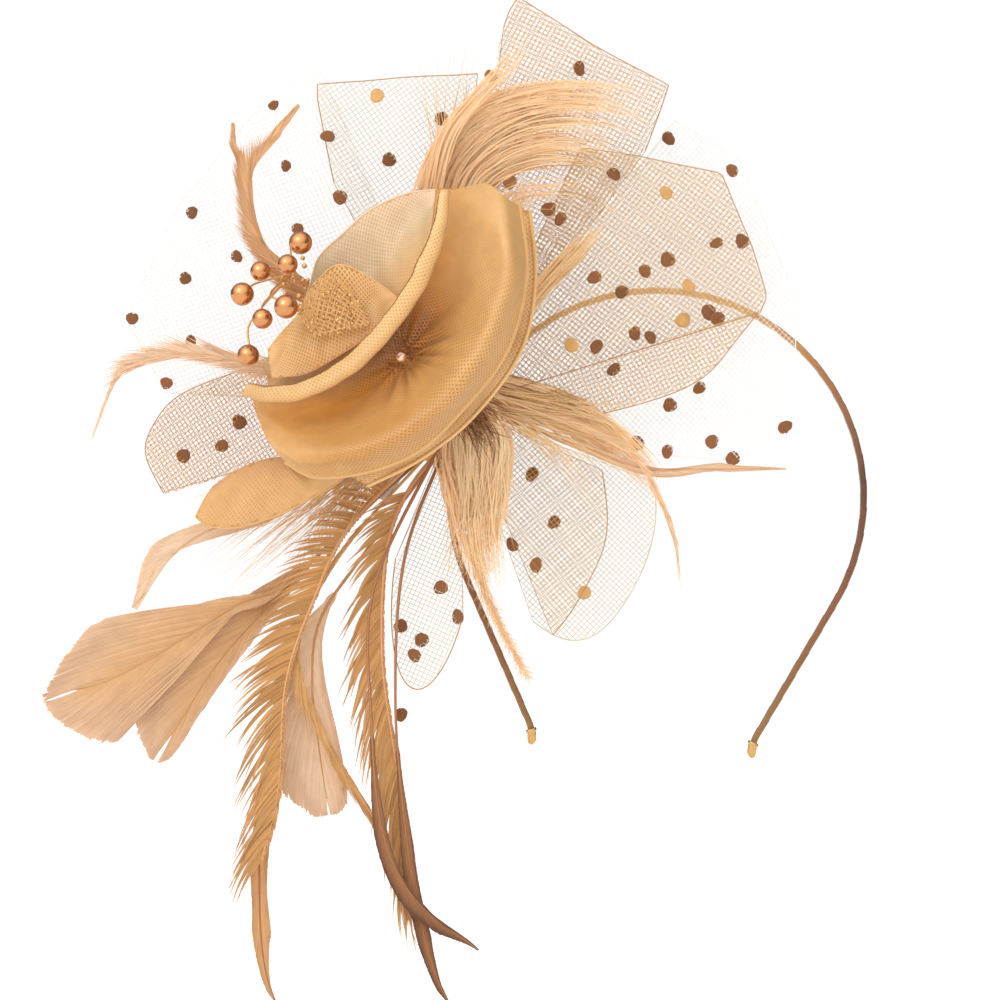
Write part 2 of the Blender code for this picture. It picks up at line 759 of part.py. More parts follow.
def make_back_cone():
    """The back of the left petal, which stands up behind the throat."""
    edge = [
        (-127, -40, -23), (-116, -41, 1), (-108, -42, 14), (-97, -42, 21), (-88, -42, 26),
        (-80, -42, 28),
    ]
    middle = [
        (-124, -39, -28), (-109, -38, -14), (-101, -38, -6), (-93, -38, 2), (-88, -39, 10),
        (-80, -41, 19),
    ]
    inside = [
        (-121, -43, -33), (-106, -45, -32), (-96, -46, -28), (-90, -46, -22), (-86, -46, -8),
        (-80, -45, 8),
    ]
    make_petal("petal_back_cone", [edge, middle, inside], crin_mesh(), along=15, across=7)


def make_inner_fan():
    """The darker folded fan inside the left petal."""
    edge = [(-117, -50, -18), (-117, -51, -8), (-110, -52, 0), (-96, -52, -3), (-87, -52, -14)]
    middle = [(-118, -53, -26), (-110, -53, -20), (-103, -53, -16), (-96, -53, -16), (-88, -53, -19)]
    inside = [(-119, -54, -31), (-112, -55, -34), (-104, -55, -33), (-96, -55, -28), (-89, -54, -22)]
    make_petal("petal_inner_fan", [edge, middle, inside], crin_mesh())


def make_lower_petal():
    """The low petal that shows below the flower."""
    inside = [
        (-118, -44, -52), (-110, -44, -56), (-104, -44, -57), (-97, -44, -57), (-90, -44, -57),
        (-84, -44, -55),
    ]
    middle = [
        (-126, -43, -58), (-121, -42, -67), (-113, -42, -71), (-104, -42, -72), (-95, -42, -71),
        (-87, -43, -66),
    ]
    edge = [
        (-136, -42, -57), (-133, -41, -72), (-120, -41, -81), (-105, -41, -83), (-93, -41, -79),
        (-84, -42, -70),
    ]
    make_petal("petal_lower", [inside, middle, edge], crin_mesh())


def make_glitter():
    """The glitter net tucked in the throat."""
    top = [(-118, -58, -2), (-108, -58, 1), (-99, -58, -3)]
    low = [(-114, -59, -15), (-108, -59, -20), (-100, -59, -15)]
    make_petal("glitter_mesh", [top, low], glitter_net(), along=7, across=4)


def make_rolled_rim():
    """The rolled front edge of the left petal: a fold, round in section, that tapers to both ends."""
    route = [
        (-128, -59, -34), (-108, -61, -37), (-91, -62, -29), (-80, -64, -14), (-75, -66, 2),
        (-77, -66, 21),
    ]
    line = smooth_points([forward(point) for point in route], 17)
    rings = []
    for i, centre in enumerate(line):
        part = i / (len(line) - 1)
        radius = 1.2 + 2.6 * math.sin(math.pi * part) ** 0.6
        ahead = (line[min(i + 1, 16)] - line[max(i - 1, 0)]).normalized()
        side = ahead.cross(Vector((0, 1, 0))).normalized()
        up = side.cross(ahead)
        turns = [TAU * k / 10 for k in range(10)]
        rings.append([centre + (side * math.cos(t) + up * math.sin(t)) * radius for t in turns])
    points, faces = bridge_rings(rings)
    add_mesh("petal_rolled_rim", points, faces, crin_mesh())


def add_ball(name, centre, radius, mat):
    work = bmesh.new()
    bmesh.ops.create_uvsphere(work, u_segments=12, v_segments=8, radius=radius * MM)
    mesh = bpy.data.meshes.new(name)
    work.to_mesh(mesh)
    work.free()
    mesh.shade_smooth()
    mesh.materials.append(mat)
    ball = bpy.data.objects.new(name, mesh)
    ball.location = Vector(centre) * MM
    bpy.context.scene.collection.objects.link(ball)
    return ball


PEARLS = [
    ("pearl_top", (-118.6, -50, 7.3), 3.7, (-122, -42, 7)),
    ("pearl_upper", (-122.0, -57, 0.0), 3.2, (-124, -47, -1)),
    ("pearl_left_upper", (-130.8, -48, -2.4), 3.2, (-127, -41, -1)),
    ("pearl_left", (-136.0, -50, -10.0), 3.7, (-132, -42, -6)),
    ("pearl_right", (-121.5, -61, -13.4), 3.8, (-127, -50, -9)),
    ("pearl_lower", (-129.0, -54, -17.5), 3.2, (-129, -45, -12)),
    ("pearl_lowest", (-133.0, -48, -29.2), 3.5, (-133, -41, -18)),
]
PEARL_ROOT = (-121.0, -35.3, -2.0)
CENTRE_BEAD = (-84.5, -54.0, -27.0)


def wire_tube(route, radius, sides=5):
    """Points and faces of a thin wire along a smooth route."""
    line = smooth_points(route, 6)
    rings = []
    for i, centre in enumerate(line):
        ahead = (line[min(i + 1, 5)] - line[max(i - 1, 0)]).normalized()
        side = ahead.cross(Vector((0.1, 0.2, 1))).normalized()
        up = side.cross(ahead)
        turns = [TAU * k / sides for k in range(sides)]
        rings.append([centre + (side * math.cos(t) + up * math.sin(t)) * radius for t in turns])
    return bridge_rings(rings)


def make_pearls():
    points, faces = [], []
    root = forward(PEARL_ROOT)
    for name, place, radius, bend in PEARLS:
        centre, knee = forward(place), forward(bend)
        add_ball(name, centre, radius, pearl_coat())
        back = centre + (knee - centre).normalized() * (radius + 0.3)
        tube_points, tube_faces = wire_tube([root, knee, back], PEARL_STEM_RADIUS)
        shift = len(points)
        points += tube_points
        faces += [tuple(i + shift for i in face) for face in tube_faces]
    stems = add_mesh("pearl_stems", points, faces, gilt_metal())
    knot = add_ball("pearl_stem_knot", root, 1.3, gilt_metal())
    knot.hide_render = True
    knot.display_type = "WIRE"
    join = stems.modifiers.new("knot", "BOOLEAN")
    join.operation = "UNION"
    join.object = knot
    join.use_self = True
    add_ball("centre_bead", forward(CENTRE_BEAD), 1.9, pearl_coat())


def main():
    clear_scene()
    make_headband()
    make_keepers()
    make_disc("felt_backing", BACKING_RADIUS, BACKING_Y, 0.2, felt())
    make_disc("felt_base", BASE_RADIUS, BASE_Y, 0.4, felt())
    make_clip()
    make_binding()
    make_nets()
    make_plumes()
    make_goose_feathers()
    make_coques_and_blades()
    make_slim_feathers()
    make_outer_shell()
    make_outer_back()
    make_back_cone()
    make_inner_fan()
    make_lower_petal()
    make_glitter()
    make_rolled_rim()
    make_pearls()


main()
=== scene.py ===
"""Fascinator headpiece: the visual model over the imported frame. Lengths below are in millimetres."""

import json
import math

import bpy
import numpy as np
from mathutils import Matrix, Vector
from mathutils.bvhtree import BVHTree


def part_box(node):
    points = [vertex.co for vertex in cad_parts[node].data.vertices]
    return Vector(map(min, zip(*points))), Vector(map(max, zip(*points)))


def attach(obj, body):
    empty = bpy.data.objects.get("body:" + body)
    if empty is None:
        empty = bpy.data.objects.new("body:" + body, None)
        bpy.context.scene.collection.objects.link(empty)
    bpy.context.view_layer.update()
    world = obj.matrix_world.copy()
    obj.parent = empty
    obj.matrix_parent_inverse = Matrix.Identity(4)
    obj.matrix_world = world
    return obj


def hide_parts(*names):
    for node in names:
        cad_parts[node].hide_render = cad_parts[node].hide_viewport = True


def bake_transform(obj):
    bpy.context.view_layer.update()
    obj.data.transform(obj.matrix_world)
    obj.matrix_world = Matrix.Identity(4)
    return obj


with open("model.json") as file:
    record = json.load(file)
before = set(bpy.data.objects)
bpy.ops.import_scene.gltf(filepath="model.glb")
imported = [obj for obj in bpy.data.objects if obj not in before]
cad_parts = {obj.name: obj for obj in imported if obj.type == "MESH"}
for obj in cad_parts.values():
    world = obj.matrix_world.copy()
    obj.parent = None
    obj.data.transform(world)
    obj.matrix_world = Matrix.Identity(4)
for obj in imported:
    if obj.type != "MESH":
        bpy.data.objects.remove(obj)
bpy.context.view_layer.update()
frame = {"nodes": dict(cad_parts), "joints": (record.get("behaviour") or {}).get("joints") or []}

MM = 0.001
TAU = 2 * math.pi
RNG = np.random.default_rng(12)


def middle(node):
    """The middle of a CAD node's box, in millimetres."""
    low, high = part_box(node)
    return np.array((low + high) / 2) / MM


HUB = middle("stem_binding")[[0, 2]]

# Layers, as the frame has them: bowls round the hub, one behind the other
FIRST_LAYER_Y = 8.2
LAYER_STEP = 1.9
LAYER_LIFT = 0.02
LIFT_STEP = 0.012
BOWL_DEPTH = 22.0
BOWL_REACH = 160.0
FLOWER_FORWARD = 7.0


def layer_y(layer, x, z):
    spread = np.hypot(x - HUB[0], z - HUB[1])
    bowl = BOWL_DEPTH * (1 - np.cos(math.pi * spread / BOWL_REACH)) / 2
    return -(FIRST_LAYER_Y + LAYER_STEP * layer + (LAYER_LIFT + LIFT_STEP * layer) * spread + bowl)


# ---------------------------------------------------------------- colours


def rgb(red, green, blue):
    """A linear colour from display values."""
    shares = np.array((red, green, blue)) / 255
    return np.where(shares <= 0.04045, shares / 12.92, ((shares + 0.055) / 1.055) ** 2.4)


CREAM = rgb(246, 222, 178)
PALE_GOLD = rgb(244, 206, 142)
GOLD = rgb(236, 186, 118)
DEEP_GOLD = rgb(218, 164, 96)
AMBER = rgb(188, 120, 50)
UMBER = rgb(130, 74, 34)
SAFFRON = rgb(234, 164, 76)
IVORY = rgb(216, 190, 148)
BLUSH = rgb(240, 205, 168)
LOBE_THREAD = rgb(216, 202, 168)
PALE_DOT = rgb(206, 158, 96)
DOT = rgb(134, 84, 46)
PEACH = rgb(243, 208, 166)
PEACH_PINK = rgb(243, 202, 164)
APRICOT = rgb(232, 184, 134)
RUSSET = rgb(212, 156, 104)
BROWN = rgb(160, 104, 58)
DARK_BROWN = rgb(92, 54, 26)
THREAD = rgb(216, 172, 108)
THREAD_EDGE = rgb(190, 142, 84)
THREAD_GOLD = rgb(216, 164, 88)
SILK = rgb(253, 220, 170)
SILK_PEACH = rgb(252, 206, 156)
SILK_GOLD = rgb(248, 204, 142)
HONEY = rgb(217, 166, 102)
CARAMEL = rgb(205, 148, 78)
TOFFEE = rgb(191, 132, 60)
BUFF = rgb(216, 174, 132)
BUFF_PINK = rgb(224, 184, 148)
BUFF_GOLD = rgb(213, 163, 110)
TAWNY = rgb(198, 146, 92)
TOFFEE_TAWNY = rgb(194, 140, 78)
VEIL_THREAD = rgb(250, 246, 240)
OLIVE_GOLD = rgb(142, 102, 44)
COPPER = rgb(204, 140, 86)
PINK_PEARL = rgb(230, 190, 160)
WHITE = (1.0, 1.0, 1.0, 1.0)


def blend(first, second, share):
    share = np.asarray(share, float)[..., None]
    return np.asarray(first) * (1 - share) + np.asarray(second) * share


# ---------------------------------------------------------------- materials


def new_nodes(name):
    mat = bpy.data.materials.new(name)
    mat.use_nodes = True
    tree = mat.node_tree
    return mat, tree, tree.nodes["Principled BSDF"]


def noise(tree, scale, detail=3.0, stretch=None):
    """A noise texture on the object's own coordinates."""
    place = tree.nodes.new("ShaderNodeTexCoord")
    texture = tree.nodes.new("ShaderNodeTexNoise")
    texture.inputs["Scale"].default_value = scale
    texture.inputs["Detail"].default_value = detail
    source = place.outputs["Object"]
    if stretch:
        mapping = tree.nodes.new("ShaderNodeMapping")
        mapping.inputs["Scale"].default_value = stretch
        tree.links.new(source, mapping.inputs["Vector"])
        source = mapping.outputs["Vector"]
    tree.links.new(source, texture.inputs["Vector"])
    return texture.outputs["Fac"]


def wave(tree, scale, axis, distortion=0.4):
    place = tree.nodes.new("ShaderNodeTexCoord")
    texture = tree.nodes.new("ShaderNodeTexWave")
    texture.wave_type = "BANDS"
    texture.bands_direction = axis
    texture.inputs["Scale"].default_value = scale
    texture.inputs["Distortion"].default_value = distortion
    tree.links.new(place.outputs["Object"], texture.inputs["Vector"])
    return texture.outputs["Fac"]


def ranged(tree, value, low, high):
    node = tree.nodes.new("ShaderNodeMapRange")
    node.inputs["To Min"].default_value = low
    node.inputs["To Max"].default_value = high
    tree.links.new(value, node.inputs["Value"])
    return node.outputs["Result"]


def scaled_colour(tree, colour, factor):
    """Colour times a grey factor."""
    node = tree.nodes.new("ShaderNodeVectorMath")
    node.operation = "SCALE"
    tree.links.new(colour, node.inputs[0])
    tree.links.new(factor, node.inputs["Scale"])
    return node.outputs["Vector"]


def bump(tree, shader, height, strength, distance):
    node = tree.nodes.new("ShaderNodeBump")
    node.inputs["Strength"].default_value = strength
    node.inputs["Distance"].default_value = distance * MM
    tree.links.new(height, node.inputs["Height"])
    tree.links.new(node.outputs["Normal"], shader.inputs["Normal"])


def own_tint(tree, shader, factor):
    """The mesh's own tint times a factor, as the base colour."""
    tint = tree.nodes.new("ShaderNodeVertexColor")
    tint.layer_name = "tint"
    tree.links.new(scaled_colour(tree, tint.outputs["Color"], factor), shader.inputs["Base Color"])


def tinted(name, scale, vary, rough, grain, metal=0.0, sheen=0.0, coat=0.0, strength=0.35, depth=0.1):
    """A finish whose colour is the mesh's own tint, varied, roughened and embossed by noise."""
    mat, tree, shader = new_nodes(name)
    own_tint(tree, shader, ranged(tree, noise(tree, scale), 1 - vary, 1 + vary))
    fine = noise(tree, grain, detail=2.0)
    tree.links.new(ranged(tree, fine, rough - 0.12, rough + 0.12), shader.inputs["Roughness"])
    bump(tree, shader, fine, strength, depth)
    shader.inputs["Metallic"].default_value = metal
    shader.inputs["Sheen Weight"].default_value = sheen
    shader.inputs["Sheen Roughness"].default_value = 0.4
    shader.inputs["Coat Weight"].default_value = coat
    shader.inputs["Coat Roughness"].default_value = 0.12
    return mat


def satin():
    """Satin ribbon: fine threads across, and a soft highlight along them."""
    mat, tree, shader = new_nodes("satin")
    own_tint(tree, shader, ranged(tree, noise(tree, 260.0), 0.8, 1.2))
    threads = wave(tree, 900.0, "DIAGONAL", 1.2)
    tree.links.new(ranged(tree, threads, 0.28, 0.42), shader.inputs["Roughness"])
    bump(tree, shader, threads, 0.25, 0.05)
    shader.inputs["Anisotropic"].default_value = 0.6
    shader.inputs["Sheen Weight"].default_value = 0.25
    return mat


def brushed_steel():
    mat, tree, shader = new_nodes("brushed_steel")
    shader.inputs["Metallic"].default_value = 1.0
    scratches = noise(tree, 900.0, 4.0, (1.0, 1.0, 0.06))
    grey = tree.nodes.new("ShaderNodeRGB")
    grey.outputs["Color"].default_value = (*rgb(214, 214, 212), 1.0)
    stain = ranged(tree, noise(tree, 90.0), 0.85, 1.05)
    tree.links.new(scaled_colour(tree, grey.outputs["Color"], stain), shader.inputs["Base Color"])
    tree.links.new(ranged(tree, scratches, 0.14, 0.36), shader.inputs["Roughness"])
    bump(tree, shader, scratches, 0.15, 0.05)
    return mat


SATIN = satin()
STEEL = brushed_steel()
NET_THREAD = tinted("net_thread", 300.0, 0.10, 0.55, 4000.0, sheen=0.2)
VELVET = tinted("velvet", 500.0, 0.22, 0.85, 2600.0, sheen=0.6, strength=0.8, depth=0.3)
ORGANZA = tinted("organza", 130.0, 0.08, 0.42, 3000.0, sheen=0.35, strength=0.25)
CRIN = tinted("crin", 260.0, 0.14, 0.38, 3500.0, sheen=0.25, coat=0.1)
GLITTER = tinted("glitter", 1500.0, 0.3, 0.25, 4000.0, metal=0.85, strength=0.5)
VANE = tinted("vane", 220.0, 0.12, 0.6, 2500.0, sheen=0.12)
SHAFT = tinted("shaft", 300.0, 0.12, 0.4, 1500.0, coat=0.2)
PEARL = tinted("pearl", 180.0, 0.12, 0.25, 900.0, metal=0.95, coat=0.5, strength=0.06)
GILT = tinted("gilt", 400.0, 0.2, 0.34, 1200.0, metal=0.9, strength=0.2)
FELT = tinted("felt", 350.0, 0.16, 0.95, 2200.0, sheen=0.5, strength=0.9, depth=0.35)
TAPE = tinted("tape", 300.0, 0.2, 0.75, 1800.0, strength=0.6, depth=0.2)


# ---------------------------------------------------------------- meshes


class Shape:
    """Gathers quads, a tint for each point and a material for each quad."""

    def __init__(self):
        self.points = []
        self.faces = []
        self.tints = []
        self.slots = []
        self.count = 0

    def add(self, points, faces, tint, slot=0):
        points = np.asarray(points, float).reshape(-1, 3)
        faces = np.asarray(faces, int)
        self.points.append(points)
        self.faces.append(faces + self.count)
        self.tints.append(np.broadcast_to(np.asarray(tint, float), (len(points), 3)))
        self.slots.append(np.full(len(faces), slot))
        self.count += len(points)

    def mesh(self, name, materials, smooth=True):
        points = np.concatenate(self.points) * MM
        faces = np.concatenate(self.faces)
        tints = np.concatenate(self.tints)
        mesh = bpy.data.meshes.new(name)
        mesh.vertices.add(len(points))
        mesh.vertices.foreach_set("co", points.ravel())
        mesh.loops.add(faces.size)
        mesh.loops.foreach_set("vertex_index", faces.ravel().astype(np.int32))
        mesh.polygons.add(len(faces))
        mesh.polygons.foreach_set("loop_start", np.arange(0, faces.size, 4, dtype=np.int32))
        mesh.polygons.foreach_set("material_index", np.concatenate(self.slots).astype(np.int32))
        mesh.polygons.foreach_set("use_smooth", np.full(len(faces), smooth))
        mesh.update(calc_edges=True)
        tint = mesh.color_attributes.new("tint", "FLOAT_COLOR", "POINT")
        colours = np.concatenate([np.clip(tints, 0, 1), np.ones((len(points), 1))], axis=1)
        tint.data.foreach_set("color", colours.ravel().astype(np.float32))
        for mat in materials:
            mesh.materials.append(mat)
        return mesh

    def place(self, name, materials, slot, nodes=(), body="flower", smooth=True):
        """The shape as a piece that rides a body and stands for CAD nodes. Its slot is not used."""
        obj = bpy.data.objects.new(name, self.mesh(name, materials, smooth))
        bpy.context.scene.collection.objects.link(obj)
        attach(obj, body)
        if nodes:
            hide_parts(*nodes)
        return obj


def grid_faces(rows, columns, wrap=False):
    """Quads of a grid of points, joined round its columns if it wraps."""
    wide = columns if wrap else columns - 1
    row, column = np.meshgrid(np.arange(rows - 1), np.arange(wide), indexing="ij")
    here, below = row * columns, (row + 1) * columns
    after = (column + 1) % columns
    corners = [here + column, here + after, below + after, below + column]
    return np.stack([corner.ravel() for corner in corners], axis=1)


def unit(vectors):
    return vectors / np.maximum(np.linalg.norm(vectors, axis=-1, keepdims=True), 1e-9)


def along(points):
    """Directions along a line of points."""
    return unit(np.gradient(points, axis=0))


def catmull(points, steps=20):
    """A smooth line through points."""
    knots = np.asarray(points, float)
    knots = np.concatenate([[2 * knots[0] - knots[1]], knots, [2 * knots[-1] - knots[-2]]])
    t = (np.arange(steps) / steps)[:, None]
    found = []
    for a, b, c, d in zip(knots, knots[1:], knots[2:], knots[3:]):
        square, cube = 2 * a - 5 * b + 4 * c - d, 3 * b - a - 3 * c + d
        found.append(0.5 * (2 * b + (c - a) * t + square * t**2 + cube * t**3))
    return np.concatenate([*found, [knots[-2]]])


class Path:
    """A smooth line that is read by distance along it."""

    def __init__(self, points, steps=20):
        self.points = catmull(points, steps)
        gaps = np.linalg.norm(np.diff(self.points, axis=0), axis=1)
        self.marks = np.concatenate([[0.0], np.cumsum(gaps)])
        self.length = float(self.marks[-1])

    def at(self, distance):
        columns = [np.interp(distance, self.marks, self.points[:, k]) for k in range(self.points.shape[1])]
        return np.stack(columns, axis=-1)

    def even(self, count):
        return self.at(np.linspace(0, self.length, count))


def add_tube(shape, line, radii, tint, sides=6, slot=0, start=0.0, flat=1.0):
    """A tube along a line, with open ends. flat is its height over its width."""
    line = np.asarray(line, float)
    radii = np.broadcast_to(np.asarray(radii, float), len(line))[:, None, None]
    ahead = along(line)
    side = unit(np.cross(ahead, (0.02, 1.0, 0.03)))[:, None]
    up = np.cross(side[:, 0], ahead)[:, None]
    turns = (start + TAU * np.arange(sides) / sides)[None, :, None]
    rings = side * np.cos(turns) + flat * up * np.sin(turns)
    tint = np.asarray(tint, float)
    if tint.ndim == 2:
        tint = np.repeat(tint, sides, axis=0)
    shape.add(line[:, None] + rings * radii, grid_faces(len(line), sides, wrap=True), tint, slot)


def add_ball(shape, centre, radius, tint, rows=14, columns=22, squash=(1, 1, 1)):
    polar = np.linspace(0, math.pi, rows)[:, None]
    turn = (TAU * np.arange(columns) / columns)[None]
    height = np.cos(polar) + 0 * turn
    ball = np.stack([np.sin(polar) * np.cos(turn), height, np.sin(polar) * np.sin(turn)], axis=-1)
    points = np.asarray(centre) + ball * radius * np.asarray(squash)
    shape.add(points, grid_faces(rows, columns, wrap=True), tint)


def read_grid(grid, i, j):
    """Points of a grid at fractional rows and columns."""
    i = np.clip(i, 0, grid.shape[0] - 1.001)
    j = np.clip(j, 0, grid.shape[1] - 1.001)
    a, b = i.astype(int), j.astype(int)
    fi, fj = (i - a)[:, None], (j - b)[:, None]
    near = grid[a, b] * (1 - fj) + grid[a, b + 1] * fj
    far = grid[a + 1, b] * (1 - fj) + grid[a + 1, b + 1] * fj
    return near * (1 - fi) + far * fi


# ---------------------------------------------------------------- headband

CROWN = np.array((0.0, 0.0, -66.0))
BAND_RADIUS = 67.15
BAND_WIDTH = 5.2
BAND_THICKNESS = 2.3
CROWN_ARC = math.radians(117) * BAND_RADIUS
LEG = 49.6
LEG_END = 7.3
LEG_END_TURN = math.radians(14)
BAND_HALF = CROWN_ARC + LEG + LEG_END
WRAP_PITCH = 8.5
WRAP_STEP = 0.14


def band_station(distance):
    """Centre and outward normal of the band at a distance from the crown, positive to +X."""
    left = abs(distance)
    angle = min(left, CROWN_ARC) / BAND_RADIUS
    point = CROWN + np.array((math.sin(angle), 0, math.cos(angle))) * BAND_RADIUS
    leg = min(max(left - CROWN_ARC, 0.0), LEG)
    point = point + np.array((math.cos(angle), 0, -math.sin(angle))) * leg
    end = max(left - CROWN_ARC - LEG, 0.0)
    angle -= LEG_END_TURN * end / LEG_END
    point = point + np.array((math.cos(angle), 0, -math.sin(angle))) * end
    normal = np.array((math.sin(angle), 0, math.cos(angle)))
    mirror = np.array((1 if distance >= 0 else -1, 1, 1))
    return point * mirror, normal * mirror


def rounded_outline(width, thickness, turns, power=4.0):
    """Points round a flat section with rounded corners, as (across, through) pairs."""
    c, s = np.cos(turns), np.sin(turns)
    across = width / 2 * np.sign(c) * np.abs(c) ** (2 / power)
    through = thickness / 2 * np.sign(s) * np.abs(s) ** (2 / power)
    return across, through


def sweep_band(shape, stops, width, thickness, tint_at, inset_at=None, sides=28):
    """A section swept along the band. inset_at(stop, turns) is how far each point lies inside it."""
    turns = TAU * (np.arange(sides) + 0.5) / sides
    rows, tints = [], []
    for stop in stops:
        centre, normal = band_station(stop)
        inset = inset_at(stop, turns) if inset_at else 0.0
        across, through = rounded_outline(width - 2 * inset, thickness - 2 * inset, turns)
        rows.append(centre + across[:, None] * np.array((0, 1, 0)) + through[:, None] * normal)
        tints.append(np.broadcast_to(tint_at(stop), (sides, 3)))
    shape.add(np.concatenate(rows), grid_faces(len(stops), sides, wrap=True), np.concatenate(tints))


# The ribbon's colour along the band: pale gold under the net, dark on the far shoulder, olive on the legs
RIBBON_STOPS = [-BAND_HALF, -CROWN_ARC, -40, 25, 62, 95, CROWN_ARC, BAND_HALF]
RIBBON_TINTS = np.array([OLIVE_GOLD, UMBER, GOLD, DEEP_GOLD, BROWN, DARK_BROWN, UMBER, OLIVE_GOLD])


def ribbon_tint(stop):
    return np.array([np.interp(stop, RIBBON_STOPS, channel) for channel in RIBBON_TINTS.T])


def wrap_inset(stop, turns):
    """Each turn of the ribbon lies on the turn before, so its surface steps down once a pitch."""
    part = (stop / WRAP_PITCH - turns / TAU) % 1.0
    return WRAP_STEP * np.clip(part * 1.06, 0, 1)


def make_band():
    shape = Shape()
    stops = np.arange(-BAND_HALF, BAND_HALF, 0.42)
    sweep_band(shape, stops, BAND_WIDTH, BAND_THICKNESS, ribbon_tint, wrap_inset)
    shape.place("band_wrap", [SATIN], "ribbon", ("headband_ribbon", "headband_core"), "headband")
    make_tip("band_tip_left", -1)
    make_tip("band_tip_right", 1)


CAP_LENGTH = 4.6
CAP_OVERLAP = 0.3
CAP_GAIN = 1.3
# A cap's profile, from its rolled mouth to its round end: (distance along it, how far inside its full width)
CAP_PROFILE = [
    (0.0, 0.10), (0.15, 0.0), (0.8, 0.0), (0.95, 0.25), (1.2, 0.3),
    (3.6, 0.32), (4.4, 0.6), (4.9, 1.3), (5.1, 2.4),
]


def make_tip(name, side):
    """A pressed gilt cap on one end of the band."""
    low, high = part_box(name)
    mouth = BAND_HALF - CAP_LENGTH + CAP_OVERLAP
    thick = BAND_THICKNESS + CAP_GAIN
    insets = {side * (mouth + part): min(inset, thick / 2 - 0.02) for part, inset in CAP_PROFILE}
    shape = Shape()
    width = (high.y - low.y) / MM
    sweep_band(shape, list(insets), width, thick, lambda stop: GOLD * 0.75, lambda stop, _: insets[stop])
    shape.place(name + "_cap", [GILT], "gilt", (name,), "headband")


# ---------------------------------------------------------------- base, keepers, binding


KEEPER_HALF = 3.5
KEEPER_GAIN = 1.9
KEEPER_WALL = 0.5
RIB_PITCH = 0.7
LAP_TURN = 2.2


def make_keeper(name):
    """A loop of ribbed ribbon round the band, with one end lapped over the other."""
    centre = middle(name)
    place = math.atan2(centre[0] - CROWN[0], centre[2] - CROWN[2]) * BAND_RADIUS
    stops = place + np.linspace(-KEEPER_HALF, KEEPER_HALF, 43)
    width, thick = BAND_WIDTH + KEEPER_GAIN, BAND_THICKNESS + KEEPER_GAIN
    inner_width, inner_thick = width - 2 * KEEPER_WALL, thick - 2 * KEEPER_WALL

    def ribs(stop, turns):
        return 0.1 + 0.1 * np.cos(TAU * (stop - place) / RIB_PITCH) - 0.12 * (turns < LAP_TURN)

    shape = Shape()
    sweep_band(shape, stops, width, thick, lambda stop: DEEP_GOLD, ribs, sides=44)
    sweep_band(shape, stops[::-1], inner_width, inner_thick, lambda stop: AMBER, None, sides=44)
    shape.place(name + "_loop", [SATIN], "ribbon", (name,))


DISC_SIDES = 90
DISC_FIBRES = 700


def make_disc(name, node, tint):
    """A cut felt disc with a slightly uneven edge and fibres standing out of it."""
    low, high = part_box(node)
    radius = (high.x - low.x) / MM / 2
    front, back = low.y / MM, high.y / MM
    centre = middle(node)
    turns = TAU * np.arange(DISC_SIDES) / DISC_SIDES
    uneven = 1 + 0.004 * np.sin(5 * turns + 1) + 0.003 * np.sin(13 * turns)
    x, z = radius * uneven * np.cos(turns), radius * uneven * np.sin(turns)
    rims = [(front, 0.02), (front, 0.5), (front, 0.96), (front + 0.2, 0.995)]
    rims += [(back - 0.2, 0.995), (back, 0.96), (back, 0.02)]
    rows = []
    for y, part in rims:
        rows.append(np.stack([centre[0] + x * part, np.full(DISC_SIDES, y), centre[2] + z * part], 1))
    shape = Shape()
    shape.add(np.concatenate(rows), grid_faces(len(rims), DISC_SIDES, wrap=True), tint)
    for _ in range(DISC_FIBRES):
        turn, out = RNG.uniform(0, TAU), radius * RNG.uniform(0.1, 1.0) ** 0.5
        face = RNG.choice((front, back))
        start = np.array((centre[0] + out * math.cos(turn), face, centre[2] + out * math.sin(turn)))
        lean = RNG.normal(0, 0.5, 3)
        rise = -0.35 if face == front else 0.35
        line = start + np.outer(np.linspace(0, 1, 3), (lean[0], rise, lean[2]))
        add_tube(shape, line, 0.03, tint * RNG.uniform(0.8, 1.2), sides=3)
    shape.place(name, [FELT], "felt", (node,))


STITCHES = 26
STITCH_INSET = 1.6
STITCH_TURN = 0.09
STITCH_RADIUS = 0.16


def make_stitches():
    """Tacking stitches that hold the backing to the base."""
    low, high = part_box("felt_backing")
    radius = (high.x - low.x) / MM / 2 - STITCH_INSET
    y = high.y / MM
    centre = middle("felt_backing")
    shape = Shape()
    for turn in TAU * np.arange(STITCHES) / STITCHES:
        ends = []
        for out, angle in ((radius, turn), (radius - 0.4, turn + STITCH_TURN)):
            ends.append((centre[0] + out * math.cos(angle), y - 0.15, centre[2] + out * math.sin(angle)))
        top = ((ends[0][0] + ends[1][0]) / 2, y + STITCH_RADIUS, (ends[0][2] + ends[1][2]) / 2)
        add_tube(shape, catmull([ends[0], top, ends[1]], 4), STITCH_RADIUS, DEEP_GOLD, sides=5)
    shape.place("backing_stitches", [SATIN], "ribbon")


TAPE_SIDES = 36
TAPE_ROW = 0.35
TAPE_LAP = 0.5


